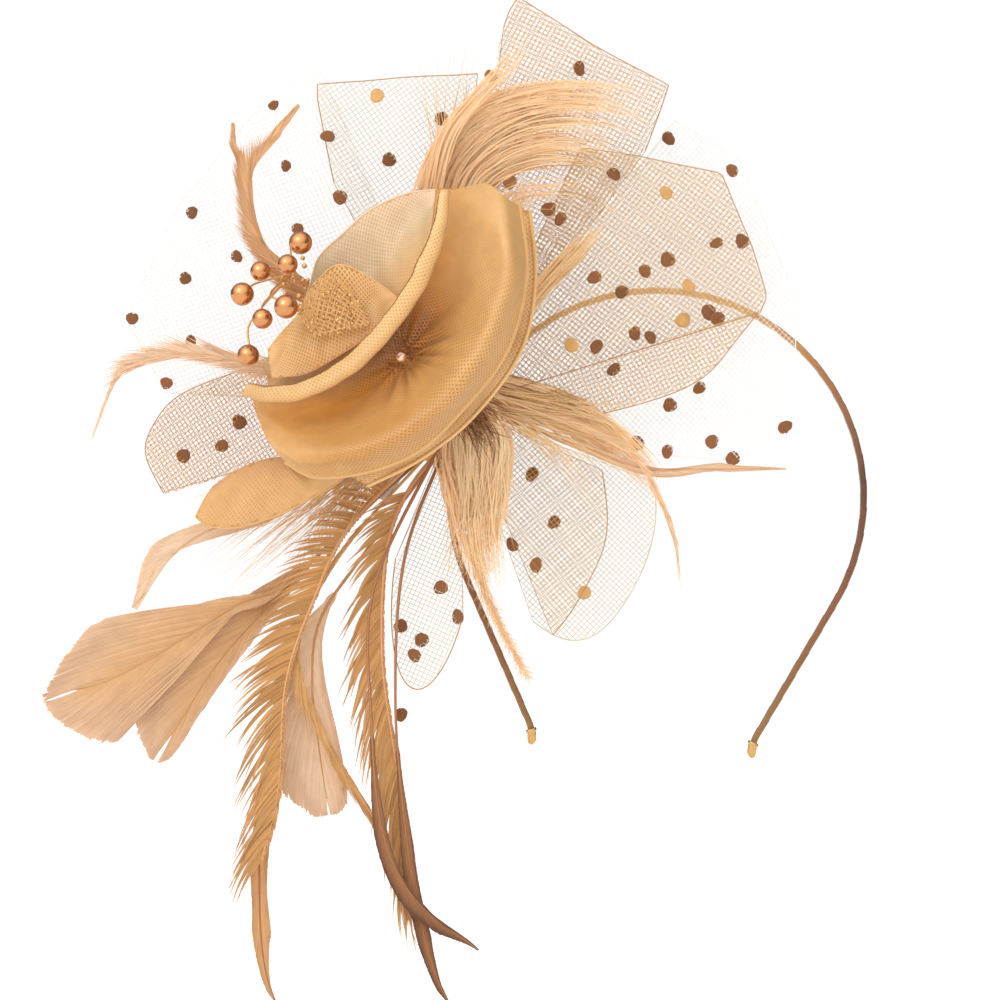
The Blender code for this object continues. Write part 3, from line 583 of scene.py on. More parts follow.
def wound_tape(name, node, ends, radii, pitch):
    """A stem bundle wound with tape: a spiral whose turns lap."""
    start, end = np.array(ends[0]), np.array(ends[1])
    length = np.linalg.norm(end - start)
    axis = (end - start) / length
    side = unit(np.cross(axis, (0.3, 0.1, 1.0)))
    up = np.cross(axis, side)
    rows = int(length / TAPE_ROW)
    turns = TAU * np.arange(TAPE_SIDES) / TAPE_SIDES
    points = []
    for part in np.arange(rows + 1) / rows:
        lap = ((part * length / pitch - turns / TAU) % 1.0) * TAPE_LAP
        radius = radii[0] + (radii[1] - radii[0]) * part - lap + 0.15 * np.sin(3 * turns + part * 4)
        ring = side * (np.cos(turns) * radius)[:, None] + up * (np.sin(turns) * radius)[:, None]
        points.append(start + axis * length * part + ring)
    shape = Shape()
    shape.add(np.concatenate(points), grid_faces(rows + 1, TAPE_SIDES, wrap=True), AMBER * 0.8)
    shape.place(name, [TAPE], "tape", (node,))


# Where the petals' binding starts, behind, and ends, in the throat
PETAL_FOOT_Y = -30.9
PETAL_THROAT = (-82.0, -30.0)


def make_base():
    make_keeper("keeper_upper")
    make_keeper("keeper_lower")
    make_disc("base_felt", "felt_base", GOLD)
    make_disc("backing_felt", "felt_backing", PALE_GOLD)
    make_stitches()
    low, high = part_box("stem_binding")
    ends = ((HUB[0], high.y / MM, HUB[1]), (HUB[0], low.y / MM, HUB[1]))
    wound_tape("stem_tape", "stem_binding", ends, (5.2, 5.0), 3.4)
    front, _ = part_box("petal_binding")
    ends = ((HUB[0], PETAL_FOOT_Y, HUB[1]), (PETAL_THROAT[0], front.y / MM, PETAL_THROAT[1]))
    wound_tape("petal_tape", "petal_binding", ends, (3.3, 4.5), 3.0)


# The clip, as the frame has it, and its teeth: their pitch, and the distance from the pivot to the first one
CLIP_PIVOT_HEIGHT = 3.4
CLIP_REACH = 61.0
CLIP_TAPER_START = 5.0
FIRST_TOOTH = 9.0
TOOTH_PITCH = 1.3
TOOTH_RADIUS = 0.4


def polished(mesh):
    mesh.materials.clear()
    mesh.materials.append(STEEL)


def make_clip():
    """Polished steel jaws with teeth, and a spring."""
    for node in ("clip_base", "clip_lever", "clip_pin"):
        polished(frame["nodes"][node].data)
    axis = next(joint["axis"] for joint in frame["joints"] if joint["name"] == "clip_open")
    pivot, sideways = middle("clip_pin"), np.array(axis)
    ahead = np.array((sideways[2], 0.0, -sideways[0]))
    teeth = Shape()
    for reach in np.arange(FIRST_TOOTH, CLIP_REACH - 1, TOOTH_PITCH):
        share = (reach - CLIP_TAPER_START) / (CLIP_REACH - CLIP_TAPER_START)
        half, height = 3.7 - 1.2 * share, 2.0 - 0.4 * share
        for side in (1, -1):
            place = pivot + ahead * reach + sideways * side * half + (0, height - CLIP_PIVOT_HEIGHT, 0)
            add_ball(teeth, place, TOOTH_RADIUS, CREAM, rows=3, columns=4, squash=(1, 0.6, 1))
    teeth.place("clip_teeth", [STEEL], "steel", smooth=False)
    mesh = frame["nodes"]["clip_spring"].data.copy()
    polished(mesh)
    spring = bpy.data.objects.new("clip_spring_wire", mesh)
    bpy.context.scene.collection.objects.link(spring)
    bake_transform(spring)
    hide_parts("clip_spring")


# ---------------------------------------------------------------- nets


FAN_SPREAD = 75
NEAREST = 12.0
FURTHEST = 200.0
FIRST_DEPTH = 0.14
LAST_DEPTH = 0.985
DEPTHS = 24
GATHER = 9.0
PLEAT = 1.3


class Fan:
    """A CAD net as the frame has it: its reach and depth in each direction from the hub."""

    def __init__(self, node, rounding=0):
        mesh = frame["nodes"][node].data
        points = [v.co / MM for v in mesh.vertices]
        self.tree = BVHTree.FromPolygons(points, [tuple(p.vertices) for p in mesh.polygons])
        centre = middle(node)
        self.axis = math.atan2(centre[2] - HUB[1], centre[0] - HUB[0])
        turns = np.radians(np.arange(-FAN_SPREAD, FAN_SPREAD, 1.0))
        reaches = np.array([self.find_reach(self.axis + turn) for turn in turns])
        kept = reaches > NEAREST
        self.turns, self.reach = turns[kept], reaches[kept]
        for _ in range(rounding):
            self.reach[1:-1] = (self.reach[:-2] + self.reach[1:-1] + self.reach[2:]) / 3
        self.depth = np.array([self.depths_along(turn, reach) for turn, reach in zip(self.turns, self.reach)])

    def hit(self, angle, distance):
        x = HUB[0] + math.cos(angle) * distance
        z = HUB[1] + math.sin(angle) * distance
        return self.tree.ray_cast(Vector((x, -400, z)), Vector((0, 1, 0)))[0]

    def find_reach(self, angle):
        """The furthest place that the net has in a direction, found by halving."""
        inside = [r for r in np.arange(NEAREST, FURTHEST, 4.0) if self.hit(angle, r)]
        if not inside:
            return 0.0
        near, far = inside[-1], inside[-1] + 4.0
        for _ in range(6):
            half = (near + far) / 2
            near, far = (half, far) if self.hit(angle, half) else (near, half)
        return near

    def depths_along(self, turn, reach):
        found, last = [], None
        for part in np.linspace(FIRST_DEPTH, LAST_DEPTH, DEPTHS):
            place = self.hit(self.axis + turn, reach * part)
            last = place.y + 0.4 if place else last
            found.append(last)
        known = [y for y in found if y is not None]
        return [known[0] if y is None else y for y in found]

    def polar(self, x, z):
        """Turn, distance and share of the reach of points."""
        dx, dz = x - HUB[0], z - HUB[1]
        turn = (np.arctan2(dz, dx) - self.axis + math.pi) % TAU - math.pi
        distance = np.hypot(dx, dz)
        return turn, distance, distance / np.interp(turn, self.turns, self.reach)

    def holds(self, x, z):
        turn, distance, part = self.polar(x, z)
        return (turn >= self.turns[0]) & (turn <= self.turns[-1]) & (part <= 1) & (distance > GATHER)

    def on_net(self, x, z, lift=0.0):
        """Points on the net, with its pleats opening out from the gather."""
        turn, distance, part = self.polar(x, z)
        row = np.interp(turn, self.turns, np.arange(len(self.turns)))
        column = (part - FIRST_DEPTH) / (LAST_DEPTH - FIRST_DEPTH) * (DEPTHS - 1)
        flat = read_grid(self.depth[..., None], row, column)[:, 0]
        size = PLEAT * np.clip(distance / 50, 0, 1)
        pleats = size * np.sin(turn * 23 + self.axis * 5 + 1.2 * np.sin(distance / 17))
        return np.stack([x, flat + pleats + lift, z], axis=1)

    def outward(self, turns, reach):
        """Points on the net at turns from its middle and distances from the hub."""
        angle = self.axis + turns
        return self.on_net(HUB[0] + np.cos(angle) * reach, HUB[1] + np.sin(angle) * reach)


NET_SIDE = 0.18
THREAD_STEP = 1.1
HEM_RADIUS = 0.2
DOT_SIDES = 22
DOT_ROWS = 5
DOT_HEIGHT = 0.45


def add_threads(shape, fan, angle, pitch, tint, lift=0.0):
    """One family of threads over a fan, clipped to it."""
    ahead = np.array((math.cos(angle), math.sin(angle)))
    side = np.array((-ahead[1], ahead[0]))
    reach = np.arange(-FURTHEST, FURTHEST, THREAD_STEP)
    for row in np.arange(-FURTHEST, FURTHEST, pitch):
        x = HUB[0] + ahead[0] * reach + side[0] * row
        z = HUB[1] + ahead[1] * reach + side[1] * row
        held = fan.holds(x, z)
        edges = np.flatnonzero(np.diff(np.concatenate([[0], held.astype(int), [0]])))
        for first, last in zip(edges[::2], edges[1::2]):
            if last - first < 3:
                continue
            keep = np.arange(first, last)
            thin = keep[::2] if len(keep) % 2 else np.append(keep[::2], keep[-1])
            line = fan.on_net(x[thin], z[thin], lift)
            add_tube(shape, line, NET_SIDE * 0.7071, tint, sides=4, start=math.pi / 4)


def add_hem(shape, fan, tint):
    """The cut edge of a net, as a thread that follows it, and a thinner one down each side."""
    turns = np.radians(np.arange(math.degrees(fan.turns[0]), math.degrees(fan.turns[-1]), 0.5))
    reach = np.interp(turns, fan.turns, fan.reach)
    add_tube(shape, fan.outward(turns, reach), HEM_RADIUS, tint, sides=5)
    for end in (0, -1):
        side = fan.outward(turns[end], np.linspace(14, reach[end], 30))
        add_tube(shape, side, HEM_RADIUS * 0.6, tint, sides=5)


def add_dot(shape, fan, x, z, tint, scale=1.0):
    """A flocked dot: a low dome with an uneven edge, lying on the net."""
    size = RNG.uniform(2.2, 2.6) * scale
    turns = TAU * np.arange(DOT_SIDES) / DOT_SIDES
    edge = size * (1 + 0.05 * np.sin(3 * turns + RNG.uniform(0, 6)) + 0.03 * np.sin(7 * turns))
    squeeze = RNG.uniform(0.7, 1.0)
    slant = RNG.uniform(0, math.pi)
    y = float(fan.on_net(np.array([x]), np.array([z]))[0, 1])
    points = []
    for angle in np.arange(DOT_ROWS + 1) / DOT_ROWS * math.pi / 2:
        out = edge * math.sin(angle + 0.001)
        wide, high = out * np.cos(turns) * squeeze, out * np.sin(turns)
        dx = wide * math.cos(slant) - high * math.sin(slant)
        dz = wide * math.sin(slant) + high * math.cos(slant)
        height = np.full(DOT_SIDES, y - 0.12 - DOT_HEIGHT * math.cos(angle))
        points.append(np.stack([x + dx, height, z + dz], 1))
    points.append(points[-1] + (0, 0.3, 0))
    faces = grid_faces(DOT_ROWS + 2, DOT_SIDES, wrap=True)
    shape.add(np.concatenate(points), faces, tint * RNG.uniform(0.8, 1.25))


# name: (angles of the two thread families, pitch, thread tint, edge tint)
NETS = {
    "veil_left": ((25, 118), 1.42, VEIL_THREAD, VEIL_THREAD),
    "veil_right": ((52, 138), 1.42, VEIL_THREAD, VEIL_THREAD),
    "net_top_left": ((38, 128), 1.42, LOBE_THREAD, THREAD_EDGE),
    "net_lower_left": ((30, 115), 1.3, THREAD_GOLD, THREAD_EDGE),
    "net_lobe": ((50, 140), 1.36, LOBE_THREAD, LOBE_THREAD),
    "net_top_apex": ((55, 150), 1.42, THREAD, THREAD_EDGE),
    "net_lower_fold": ((40, 132), 1.36, THREAD, THREAD_EDGE),
    "net_lower_centre": ((70, 160), 1.42, LOBE_THREAD, THREAD_EDGE),
    "net_right_upper": ((45, 138), 1.42, THREAD, THREAD_EDGE),
    "net_right_lower": ((20, 112), 1.36, THREAD, THREAD_EDGE),
}

# Velvet dots, by the net that carries them: (x, z)
DOTS = {
    "veil_left": [
        (-131, 52), (-126, 33), (-155, 16), (-140, 3), (-156, -5),
        (-121, 13), (-172, -19), (-153, -25), (-160, -39),
    ],
    "veil_right": [
        (-4, 49), (17, 40), (2, -36), (11, -30), (16, -47), (39, -41), (-8, -49), (2, -51), (23, -52),
    ],
    "net_top_left": [(-98, 57), (-77, 51), (-113, 43), (-93, 37), (-108, 24)],
    "net_lower_left": [(-153, -62), (-136, -50), (-141, -58)],
    "net_lobe": [(-33, -76), (-41, -61), (-22, -98)],
    "net_top_apex": [(-62, 65), (-34, 69), (-54, 32)],
    "net_right_upper": [
        (-41, 24), (-37, 21), (-21, 36), (-4, 31), (13, 16), (21, 17), (-25, 3), (-9, 6), (-2, 10), (-16, -1),
        (5, 2), (12, -6), (15, -8), (4, -9), (-11, -14),
    ],
    "net_right_lower": [(-6, -15), (-31, -19), (-23, -19), (-17, -26)],
    "net_lower_centre": [(-73, -116), (-75, -121), (-68, -99), (-80, -112), (-62, -108), (-78, -140)],
    "net_lower_fold": [(-46, -84), (-38, -90)],
}
PALE_DOTS = {(-98, 57), (-54, 32), (-4, 31), (5, 2), (4, -9), (-31, -19), (-22, -98)}


SMALL_DOTS = {"veil_left": 0.82}
# How far behind a doubled net its second layer lies
FOLD_LIFT = 0.7
# Nets folded double, and how far the fold behind turns their threads, in degrees
DOUBLED = {"net_right_upper": 17, "net_right_lower": 23, "net_lower_left": 20, "net_top_apex": 14}
ROUNDED = {
    "net_lobe": 24, "net_lower_fold": 40, "net_lower_centre": 30, "net_right_lower": 12,
    "net_lower_left": 8,
}


def make_net(name):
    angles, pitch, tint, edge = NETS[name]
    fan = Fan(name, ROUNDED.get(name, 0))
    shape = Shape()
    for angle in angles:
        add_threads(shape, fan, math.radians(angle), pitch, tint)
    sheet = shape.place(name + "_threads", [NET_THREAD], "netting", (name,))
    if name in DOUBLED:
        fold = Shape()
        for angle in angles:
            add_threads(fold, fan, math.radians(angle + DOUBLED[name]), pitch, tint, FOLD_LIFT)
        behind = fold.place(name + "_fold_threads", [NET_THREAD], "netting")
    hem = Shape()
    add_hem(hem, fan, edge)
    dots = Shape()
    for x, z in DOTS[name]:
        add_dot(dots, fan, x, z, PALE_DOT if (x, z) in PALE_DOTS else DOT, SMALL_DOTS.get(name, 1.0))
    trims = [hem.place(name + "_edge", [NET_THREAD], "netting"), dots.place(name + "_dots", [VELVET], "felt")]


# ---------------------------------------------------------------- feathers


BARB_STEP = 0.5
HAIR = 0.16
LONGEST_BARB = 62


def width_at(widths, part):
    """The (left, right) widths of a vane at parts of its length."""
    table = np.array(widths, float)
    return np.interp(part, table[:, 0], table[:, 1]), np.interp(part, table[:, 0], table[:, 2])


def add_barbs(shape, layer, starts, headings, bends, lengths, wide, lift, curl, tints, tips, **more):
    """Flat barbs: each is a strip that bends as it goes, and narrows to its end."""
    steps = more.pop("steps", 8)
    part = np.linspace(0, 1, steps)
    turn = headings[:, None] + bends[:, None] * (part[:-1] + part[1:]) / 2
    stride = (lengths / (steps - 1))[:, None]
    none = np.zeros((len(starts), 1))
    x = starts[:, :1] + np.concatenate([none, np.cumsum(np.cos(turn) * stride, axis=1)], axis=1)
    z = starts[:, 1:2] + np.concatenate([none, np.cumsum(np.sin(turn) * stride, axis=1)], axis=1)
    heading = headings[:, None] + bends[:, None] * part
    y = layer_y(layer, x, z) + lift[:, None] + curl[:, None] * part**2
    add_ribbons(shape, (x, y, z), heading, wide, tints, tips, **more)
    return x, y, z, heading


def add_ribbons(shape, line, heading, wide, tints, tips, taper=2.0, tilt=0.6):
    """A narrow strip along each row of points, which thins to its end."""
    x, y, z = line
    count, steps = x.shape
    part = np.linspace(0, 1, steps)
    width = wide[:, None] * np.maximum(1 - part**taper, 0.08)[None] / 2
    dx, dz = -np.sin(heading) * width, np.cos(heading) * width
    dy = (RNG.uniform(-tilt, tilt, count))[:, None] * width
    left = np.stack([x + dx, y + dy, z + dz], axis=-1)
    right = np.stack([x - dx, y - dy, z - dz], axis=-1)
    faces = (np.arange(count) * steps * 2)[:, None, None] + grid_faces(steps, 2)[None]
    colour = np.broadcast_to(fade(tints, tips, part)[:, :, None], (count, steps, 2, 3))
    shape.add(np.stack([left, right], axis=2), faces.reshape(-1, 4), colour.reshape(-1, 3))


def fade(tints, tips, part):
    """Colours that turn from each tint to its tip, late along the strip."""
    share = part[None, :, None] ** 1.5
    return tints[:, None] * (1 - share) + tips[:, None] * share


def add_membrane(shape, x, y, z, tints, tips, splits):
    """The closed web of a vane between neighbouring barbs, open beyond the splits in it."""
    count, steps = x.shape
    faces = grid_faces(count, steps).reshape(count - 1, steps - 1, 4)
    shut = np.full(count - 1, steps - 1)
    shut[splits] = RNG.integers(1, max(2, steps // 2), len(splits))
    one, two = x[:-1, 1:] - x[1:, :-1], z[:-1, 1:] - z[1:, :-1]
    three, four = x[1:, 1:] - x[:-1, :-1], z[1:, 1:] - z[:-1, :-1]
    turned = one * four - two * three
    level = turned * np.sign(np.median(turned)) > 0.01
    kept = faces[(np.arange(steps - 1)[None] < shut[:, None]) & level]
    colour = fade(tints, tips, np.linspace(0, 1, steps))
    shape.add(np.stack([x, y, z], axis=-1), kept.reshape(-1, 4), colour.reshape(-1, 3))


def outlined_lengths(path, starts, leans, bends, widths, side, past=1.0):
    """How far each barb can go before it leaves the vane's outline."""
    reach = np.arange(BARB_STEP, LONGEST_BARB, BARB_STEP)
    lean = leans[:, None] - np.abs(bends)[:, None] * reach[None] / LONGEST_BARB
    out = np.cumsum(np.sin(lean), axis=1) * BARB_STEP
    part = (starts[:, None] + np.cumsum(np.cos(lean), axis=1) * BARB_STEP) / path.length
    allowed = width_at(widths, np.clip(part, 0, past))[side]
    fits = (out <= allowed) & (part <= past)
    ends = np.where(fits.all(axis=1), len(reach) - 1, np.argmin(fits, axis=1))
    return reach[ends]


def clumped(count, size, amount):
    """Small angles that draw barbs together into clumps, with splits between them."""
    edges = np.sort(RNG.choice(np.arange(1, count - 1), max(1, int(count / size)), replace=False))
    edges = np.concatenate([[0], edges, [count]])
    found = np.zeros(count)
    for first, last in zip(edges, edges[1:]):
        if last > first:
            found[first:last] = (np.linspace(1, -1, last - first)) * amount * RNG.uniform(0.3, 1.0)
    return found


# widths: (share of the feather's length, width to the left, width to the right), from its root.
# lean: the barbs' angle to the shaft in degrees, at the root and at the tip.
LOOKS = {
    "goose": {
        "widths": [
            (0, 0.8, 0.8), (0.5, 1, 1), (0.594, 3.5, 2), (0.70, 9, 7), (0.787, 14, 12), (0.86, 18, 16),
            (0.93, 21, 17.5), (1, 17, 16), (1.05, 11, 12), (1.085, 3, 5),
        ],
        "start": 0.46, "gap": 0.4, "wide": 0.55, "lean": (32, 10), "bend": 0.20, "outlined": True,
        "clump": 34, "split": 0.03, "solid": True, "past": 1.085, "tint": BUFF_GOLD, "tip": BUFF_PINK,
        "cup": 2.5, "quill": (0.75, 0.2), "shaft": TAWNY,
    },
    "coque": {
        "widths": [(0, 1, 1), (0.2, 1, 12), (0.5, 1.2, 18), (0.75, 1.5, 20), (0.92, 2, 14), (1, 1, 6)],
        "start": 0.16, "gap": 1.15, "wide": 1.3, "lean": (74, 28), "bend": 0.45, "clump": 5, "split": 0.1,
        "most": 27, "tint": TOFFEE_TAWNY, "tip": TAWNY, "cup": 2.0, "quill": (0.7, 0.25), "shaft": RUSSET,
    },
    "blade": {
        "widths": [
            (0, 0.6, 0.6), (0.6, 0.8, 0.8), (0.72, 2.2, 2.4), (0.88, 2.6, 2.6), (0.96, 1.3, 1.3),
            (1, 0.3, 0.3),
        ],
        "start": 0.55, "gap": 0.5, "wide": 0.5, "lean": (16, 6), "bend": 0.05, "outlined": True, "clump": 60,
        "split": 0.0, "solid": True, "tint": RUSSET, "tip": BROWN, "cup": 0.8,
        "quill": (0.6, 0.25), "shaft": BROWN,
    },
    "slim": {
        "widths": [(0, 0.8, 0.8), (0.3, 2, 2), (0.6, 4.5, 4.5), (0.85, 4, 4), (1, 1, 1)],
        "start": 0.2, "gap": 0.7, "wide": 0.5, "lean": (26, 12), "bend": 0.15, "clump": 5, "split": 0.12,
        "most": 13, "tint": PEACH, "tip": APRICOT, "cup": 1.5, "quill": (0.55, 0.15), "shaft": APRICOT,
    },
    "biot": {
        "widths": [(0, 0.8, 0.8), (0.3, 1.7, 1.7), (0.6, 2.8, 2.8), (0.85, 2.3, 2.3), (1, 0.6, 0.6)],
        "start": 0.2, "gap": 0.5, "wide": 0.5, "lean": (13, 8), "bend": 0.03, "outlined": True, "clump": 14,
        "split": 0.03, "tint": APRICOT, "tip": RUSSET, "cup": 1.0, "quill": (0.55, 0.2), "shaft": RUSSET,
    },
}


def course_at(path, distance):
    """Which way a path runs at distances along it."""
    ahead = path.at(np.minimum(distance + 0.8, path.length)) - path.at(np.maximum(distance - 0.8, 0))
    return np.arctan2(ahead[:, 1], ahead[:, 0])


def add_vane(shape, layer, path, look, side):
    """One side of a vane: 0 is left of the shaft, 1 is right."""
    starts = np.arange(look["start"] * path.length, path.length * 0.995, look["gap"])
    count = len(starts)
    starts = starts + RNG.uniform(-0.2, 0.2, count) * look["gap"]
    part = starts / path.length
    age = (part - look["start"]) / (1 - look["start"])
    leans = np.radians(look["lean"][0] + (look["lean"][1] - look["lean"][0]) * age)
    solid = look.get("solid", False)
    stray = 0.15 if solid else 1.0
    leans = leans * RNG.uniform(1 - 0.06 * stray, 1 + 0.06 * stray, count)
    leans = leans + clumped(count, look["clump"], look["split"])
    leans = np.maximum(leans, 0.05)
    bends = np.full(count, look["bend"]) * RNG.uniform(1 - 0.3 * stray, 1 + 0.3 * stray, count)
    if look.get("outlined"):
        lengths = outlined_lengths(path, starts, leans, bends, look["widths"], side, look.get("past", 1.0))
        lengths = lengths * RNG.uniform(0.97, 1.0, count)
    else:
        lengths = width_at(look["widths"], part)[side] / np.sin(leans) * RNG.uniform(0.75, 1.1, count)
        lengths = np.minimum(lengths, look["most"] * RNG.uniform(0.8, 1.1, count))
    sign = 1 if side == 0 else -1
    tone = (RNG.uniform(0.94, 1.05, count) if solid else RNG.uniform(0.86, 1.12, count))[:, None]
    tints, tips = look["tint"] * tone, look["tip"] * tone
    cup = look["cup"] * lengths / lengths.max() * (1.0 if solid else RNG.uniform(0.6, 1.3, count))
    headings = course_at(path, starts) + sign * leans
    wide = np.full(count, look["wide"]) * RNG.uniform(0.8, 1.15, count)
    lift = RNG.uniform(-0.12, 0.12, count) * (0.3 if solid else 1.0)
    where = (shape, layer, path.at(starts), headings, -sign * bends, lengths)
    x, y, z, _ = add_barbs(*where, wide, lift, -cup, tints, tips, tilt=0.3 if solid else 0.6)
    if solid:
        splits = RNG.choice(np.arange(2, count - 2), int(count / look["clump"]), replace=False)
        add_membrane(shape, x, y + 0.12, z, tints, tips, splits)


def add_shaft(shape, layer, path, radii, tint, lift=0.0):
    points = path.even(max(12, int(path.length / 4)))
    part = np.linspace(0, 1, len(points))
    line = np.stack([points[:, 0], layer_y(layer, points[:, 0], points[:, 1]) + lift, points[:, 1]], axis=1)
    add_tube(shape, line, radii[0] + (radii[1] - radii[0]) * part, tint, sides=6, slot=1, flat=0.8)


def make_feather(name, layer, kind, route, changes):
    look = {**LOOKS[kind], **changes}
    path = Path(route)
    shape = Shape()
    add_shaft(shape, layer, path, look["quill"], look["shaft"])
    for side in (0, 1):
        add_vane(shape, layer, path, look, side)
    slot = "feather_brown" if name in BROWN_FEATHERS else "feather_peach"
    shape.place(name + "_feather", [VANE, SHAFT], slot, (name,))


def add_fluff(shape, layer, path, lengths, lean, gap, tints, hairs):
    """Soft barbs on both sides of a shaft, with fine hairs on them."""
    starts = np.arange(0.08 * path.length, path.length, gap)
    count = len(starts)
    for sign in (1, -1):
        here = starts + RNG.uniform(-0.5, 0.5, count) * gap
        part = here / path.length
        leans = np.radians(lean[0] + (lean[1] - lean[0]) * part) * RNG.uniform(0.4, 1.3, count)
        leans = leans + clumped(count, 18, 0.08)
        size = np.interp(part, [0, 0.5, 1], lengths) * RNG.uniform(0.6, 1.1, count)
        bends = -sign * 0.5 * RNG.uniform(0.2, 1.4, count)
        tone = blend(tints[0], tints[1], RNG.uniform(0, 1, count)) * RNG.uniform(0.93, 1.07, count)[:, None]
        wide = np.full(count, 0.42) * RNG.uniform(0.6, 1.3, count)
        lift, curl = RNG.uniform(-1.2, 1.2, count), RNG.uniform(-5.0, 1.5, count)
        where = (shape, layer, path.at(here), course_at(path, here) + sign * leans, bends, size)
        tints_now = (tone, tone * 0.95)
        x, y, z, heading = add_barbs(*where, wide, lift, curl, *tints_now, steps=9, taper=1.6, tilt=0.35)
        add_hairs(shape, layer, (x, y, z), heading, tone, hairs)


def add_hairs(shape, layer, line, heading, tone, count):
    """Barbules: short hairs along each barb."""
    rows, steps = heading.shape
    row = np.arange(rows)[:, None]
    for side in (1, -1):
        share = RNG.uniform(0.1, 0.98, (rows, count)) * (steps - 1.001)
        low = share.astype(int)
        part = share - low
        x, y, z = [(axis[row, low] * (1 - part) + axis[row, low + 1] * part).ravel() for axis in line]
        turn = (heading[row, low] + side * RNG.uniform(0.3, 0.9, (rows, count))).ravel()
        number = len(x)
        tint = np.repeat(tone, count, axis=0) * RNG.uniform(0.9, 1.1, number)[:, None]
        bends, lengths = RNG.uniform(-0.4, 0.4, number), RNG.uniform(1.5, 4.5, number)
        where = (shape, layer, np.stack([x, z], axis=1), turn, bends, lengths, np.full(number, HAIR))
        lift, curl = y - layer_y(layer, x, z), RNG.uniform(-1, 1, number)
        add_barbs(*where, lift, curl, tint, tint, steps=3, taper=1.2)


def make_plume(name, layer, route, lengths, lean, gap, tints, hairs):
    path = Path(route)
    shape = Shape()
    add_shaft(shape, layer, path, (0.6, 0.15), tints[0])
    add_fluff(shape, layer, path, lengths, lean, gap, tints, hairs)
    shape.place(name + "_feather", [VANE, SHAFT], "feather_peach", (name,))


SWATH_STEPS = 16
GUIDE_POINTS = 60
BARBS_IN_LOCK = 22


def add_swath(
    shape, layer, guides, count, tints, end=(0.7, 1.0), wide=0.5, stray=1.0, lock=0.5, hairs=1, deep=1.2
):
    """Long combed barbs that fill the space between guide lines, and part into locks at their ends."""
    lines = np.stack([Path(guide).even(GUIDE_POINTS) for guide in guides])
    most = len(guides) - 1.0
    pick = np.sort(RNG.uniform(0, most, count))
    locks = np.sort(RNG.uniform(0, most, max(2, count // BARBS_IN_LOCK)))
    centre = locks[np.abs(pick[:, None] - locks[None]).argmin(axis=1)]
    part = np.linspace(0, 1, SWATH_STEPS)[None]
    first, last = RNG.uniform(0.0, 0.35, count)[:, None], RNG.uniform(*end, count)[:, None]
    across = pick[:, None] + (centre - pick)[:, None] * lock * part**2
    share = first + (last - first) * part
    line = read_grid(lines, across.ravel(), share.ravel() * (GUIDE_POINTS - 1)).reshape(count, SWATH_STEPS, 2)
    ahead = np.gradient(line, axis=1)
    heading = np.arctan2(ahead[..., 1], ahead[..., 0])
    drift, phase = RNG.normal(0, 1, (count, 1)), RNG.uniform(0, 6, (count, 1))
    off = stray * (drift * part**2 + 0.5 * np.sin(part * 5 + phase))
    x = line[..., 0] - np.sin(heading) * off
    z = line[..., 1] + np.cos(heading) * off
    y = layer_y(layer, x, z) + RNG.uniform(-deep, deep, (count, 1)) + RNG.uniform(-3, 1, (count, 1)) * part**2
    shade = RNG.uniform(0, 1, len(locks))[np.searchsorted(locks, centre)]
    shade = np.clip(shade + RNG.uniform(-0.3, 0.3, count), 0, 1)
    tone = blend(tints[0], tints[1], shade) * RNG.uniform(0.94, 1.06, count)[:, None]
    add_ribbons(shape, (x, y, z), heading, wide * RNG.uniform(0.6, 1.3, count), tone, tone * 0.97, 2.4, 0.3)
    add_hairs(shape, layer, (x, y, z), heading, tone, hairs)


def make_swath(name, layer, count, tints, guides, options):
    quill = Path(np.mean([Path(guide).even(12) for guide in guides], axis=0))
    shape = Shape()
    add_shaft(shape, layer, quill, (0.5, 0.12), tints[0], lift=1.2)
    add_swath(shape, layer, guides, count, tints, **options)
    nodes = (name,) if name in frame["nodes"] else ()
    shape.place(name + "_feather", [VANE, SHAFT], "feather_peach", nodes)


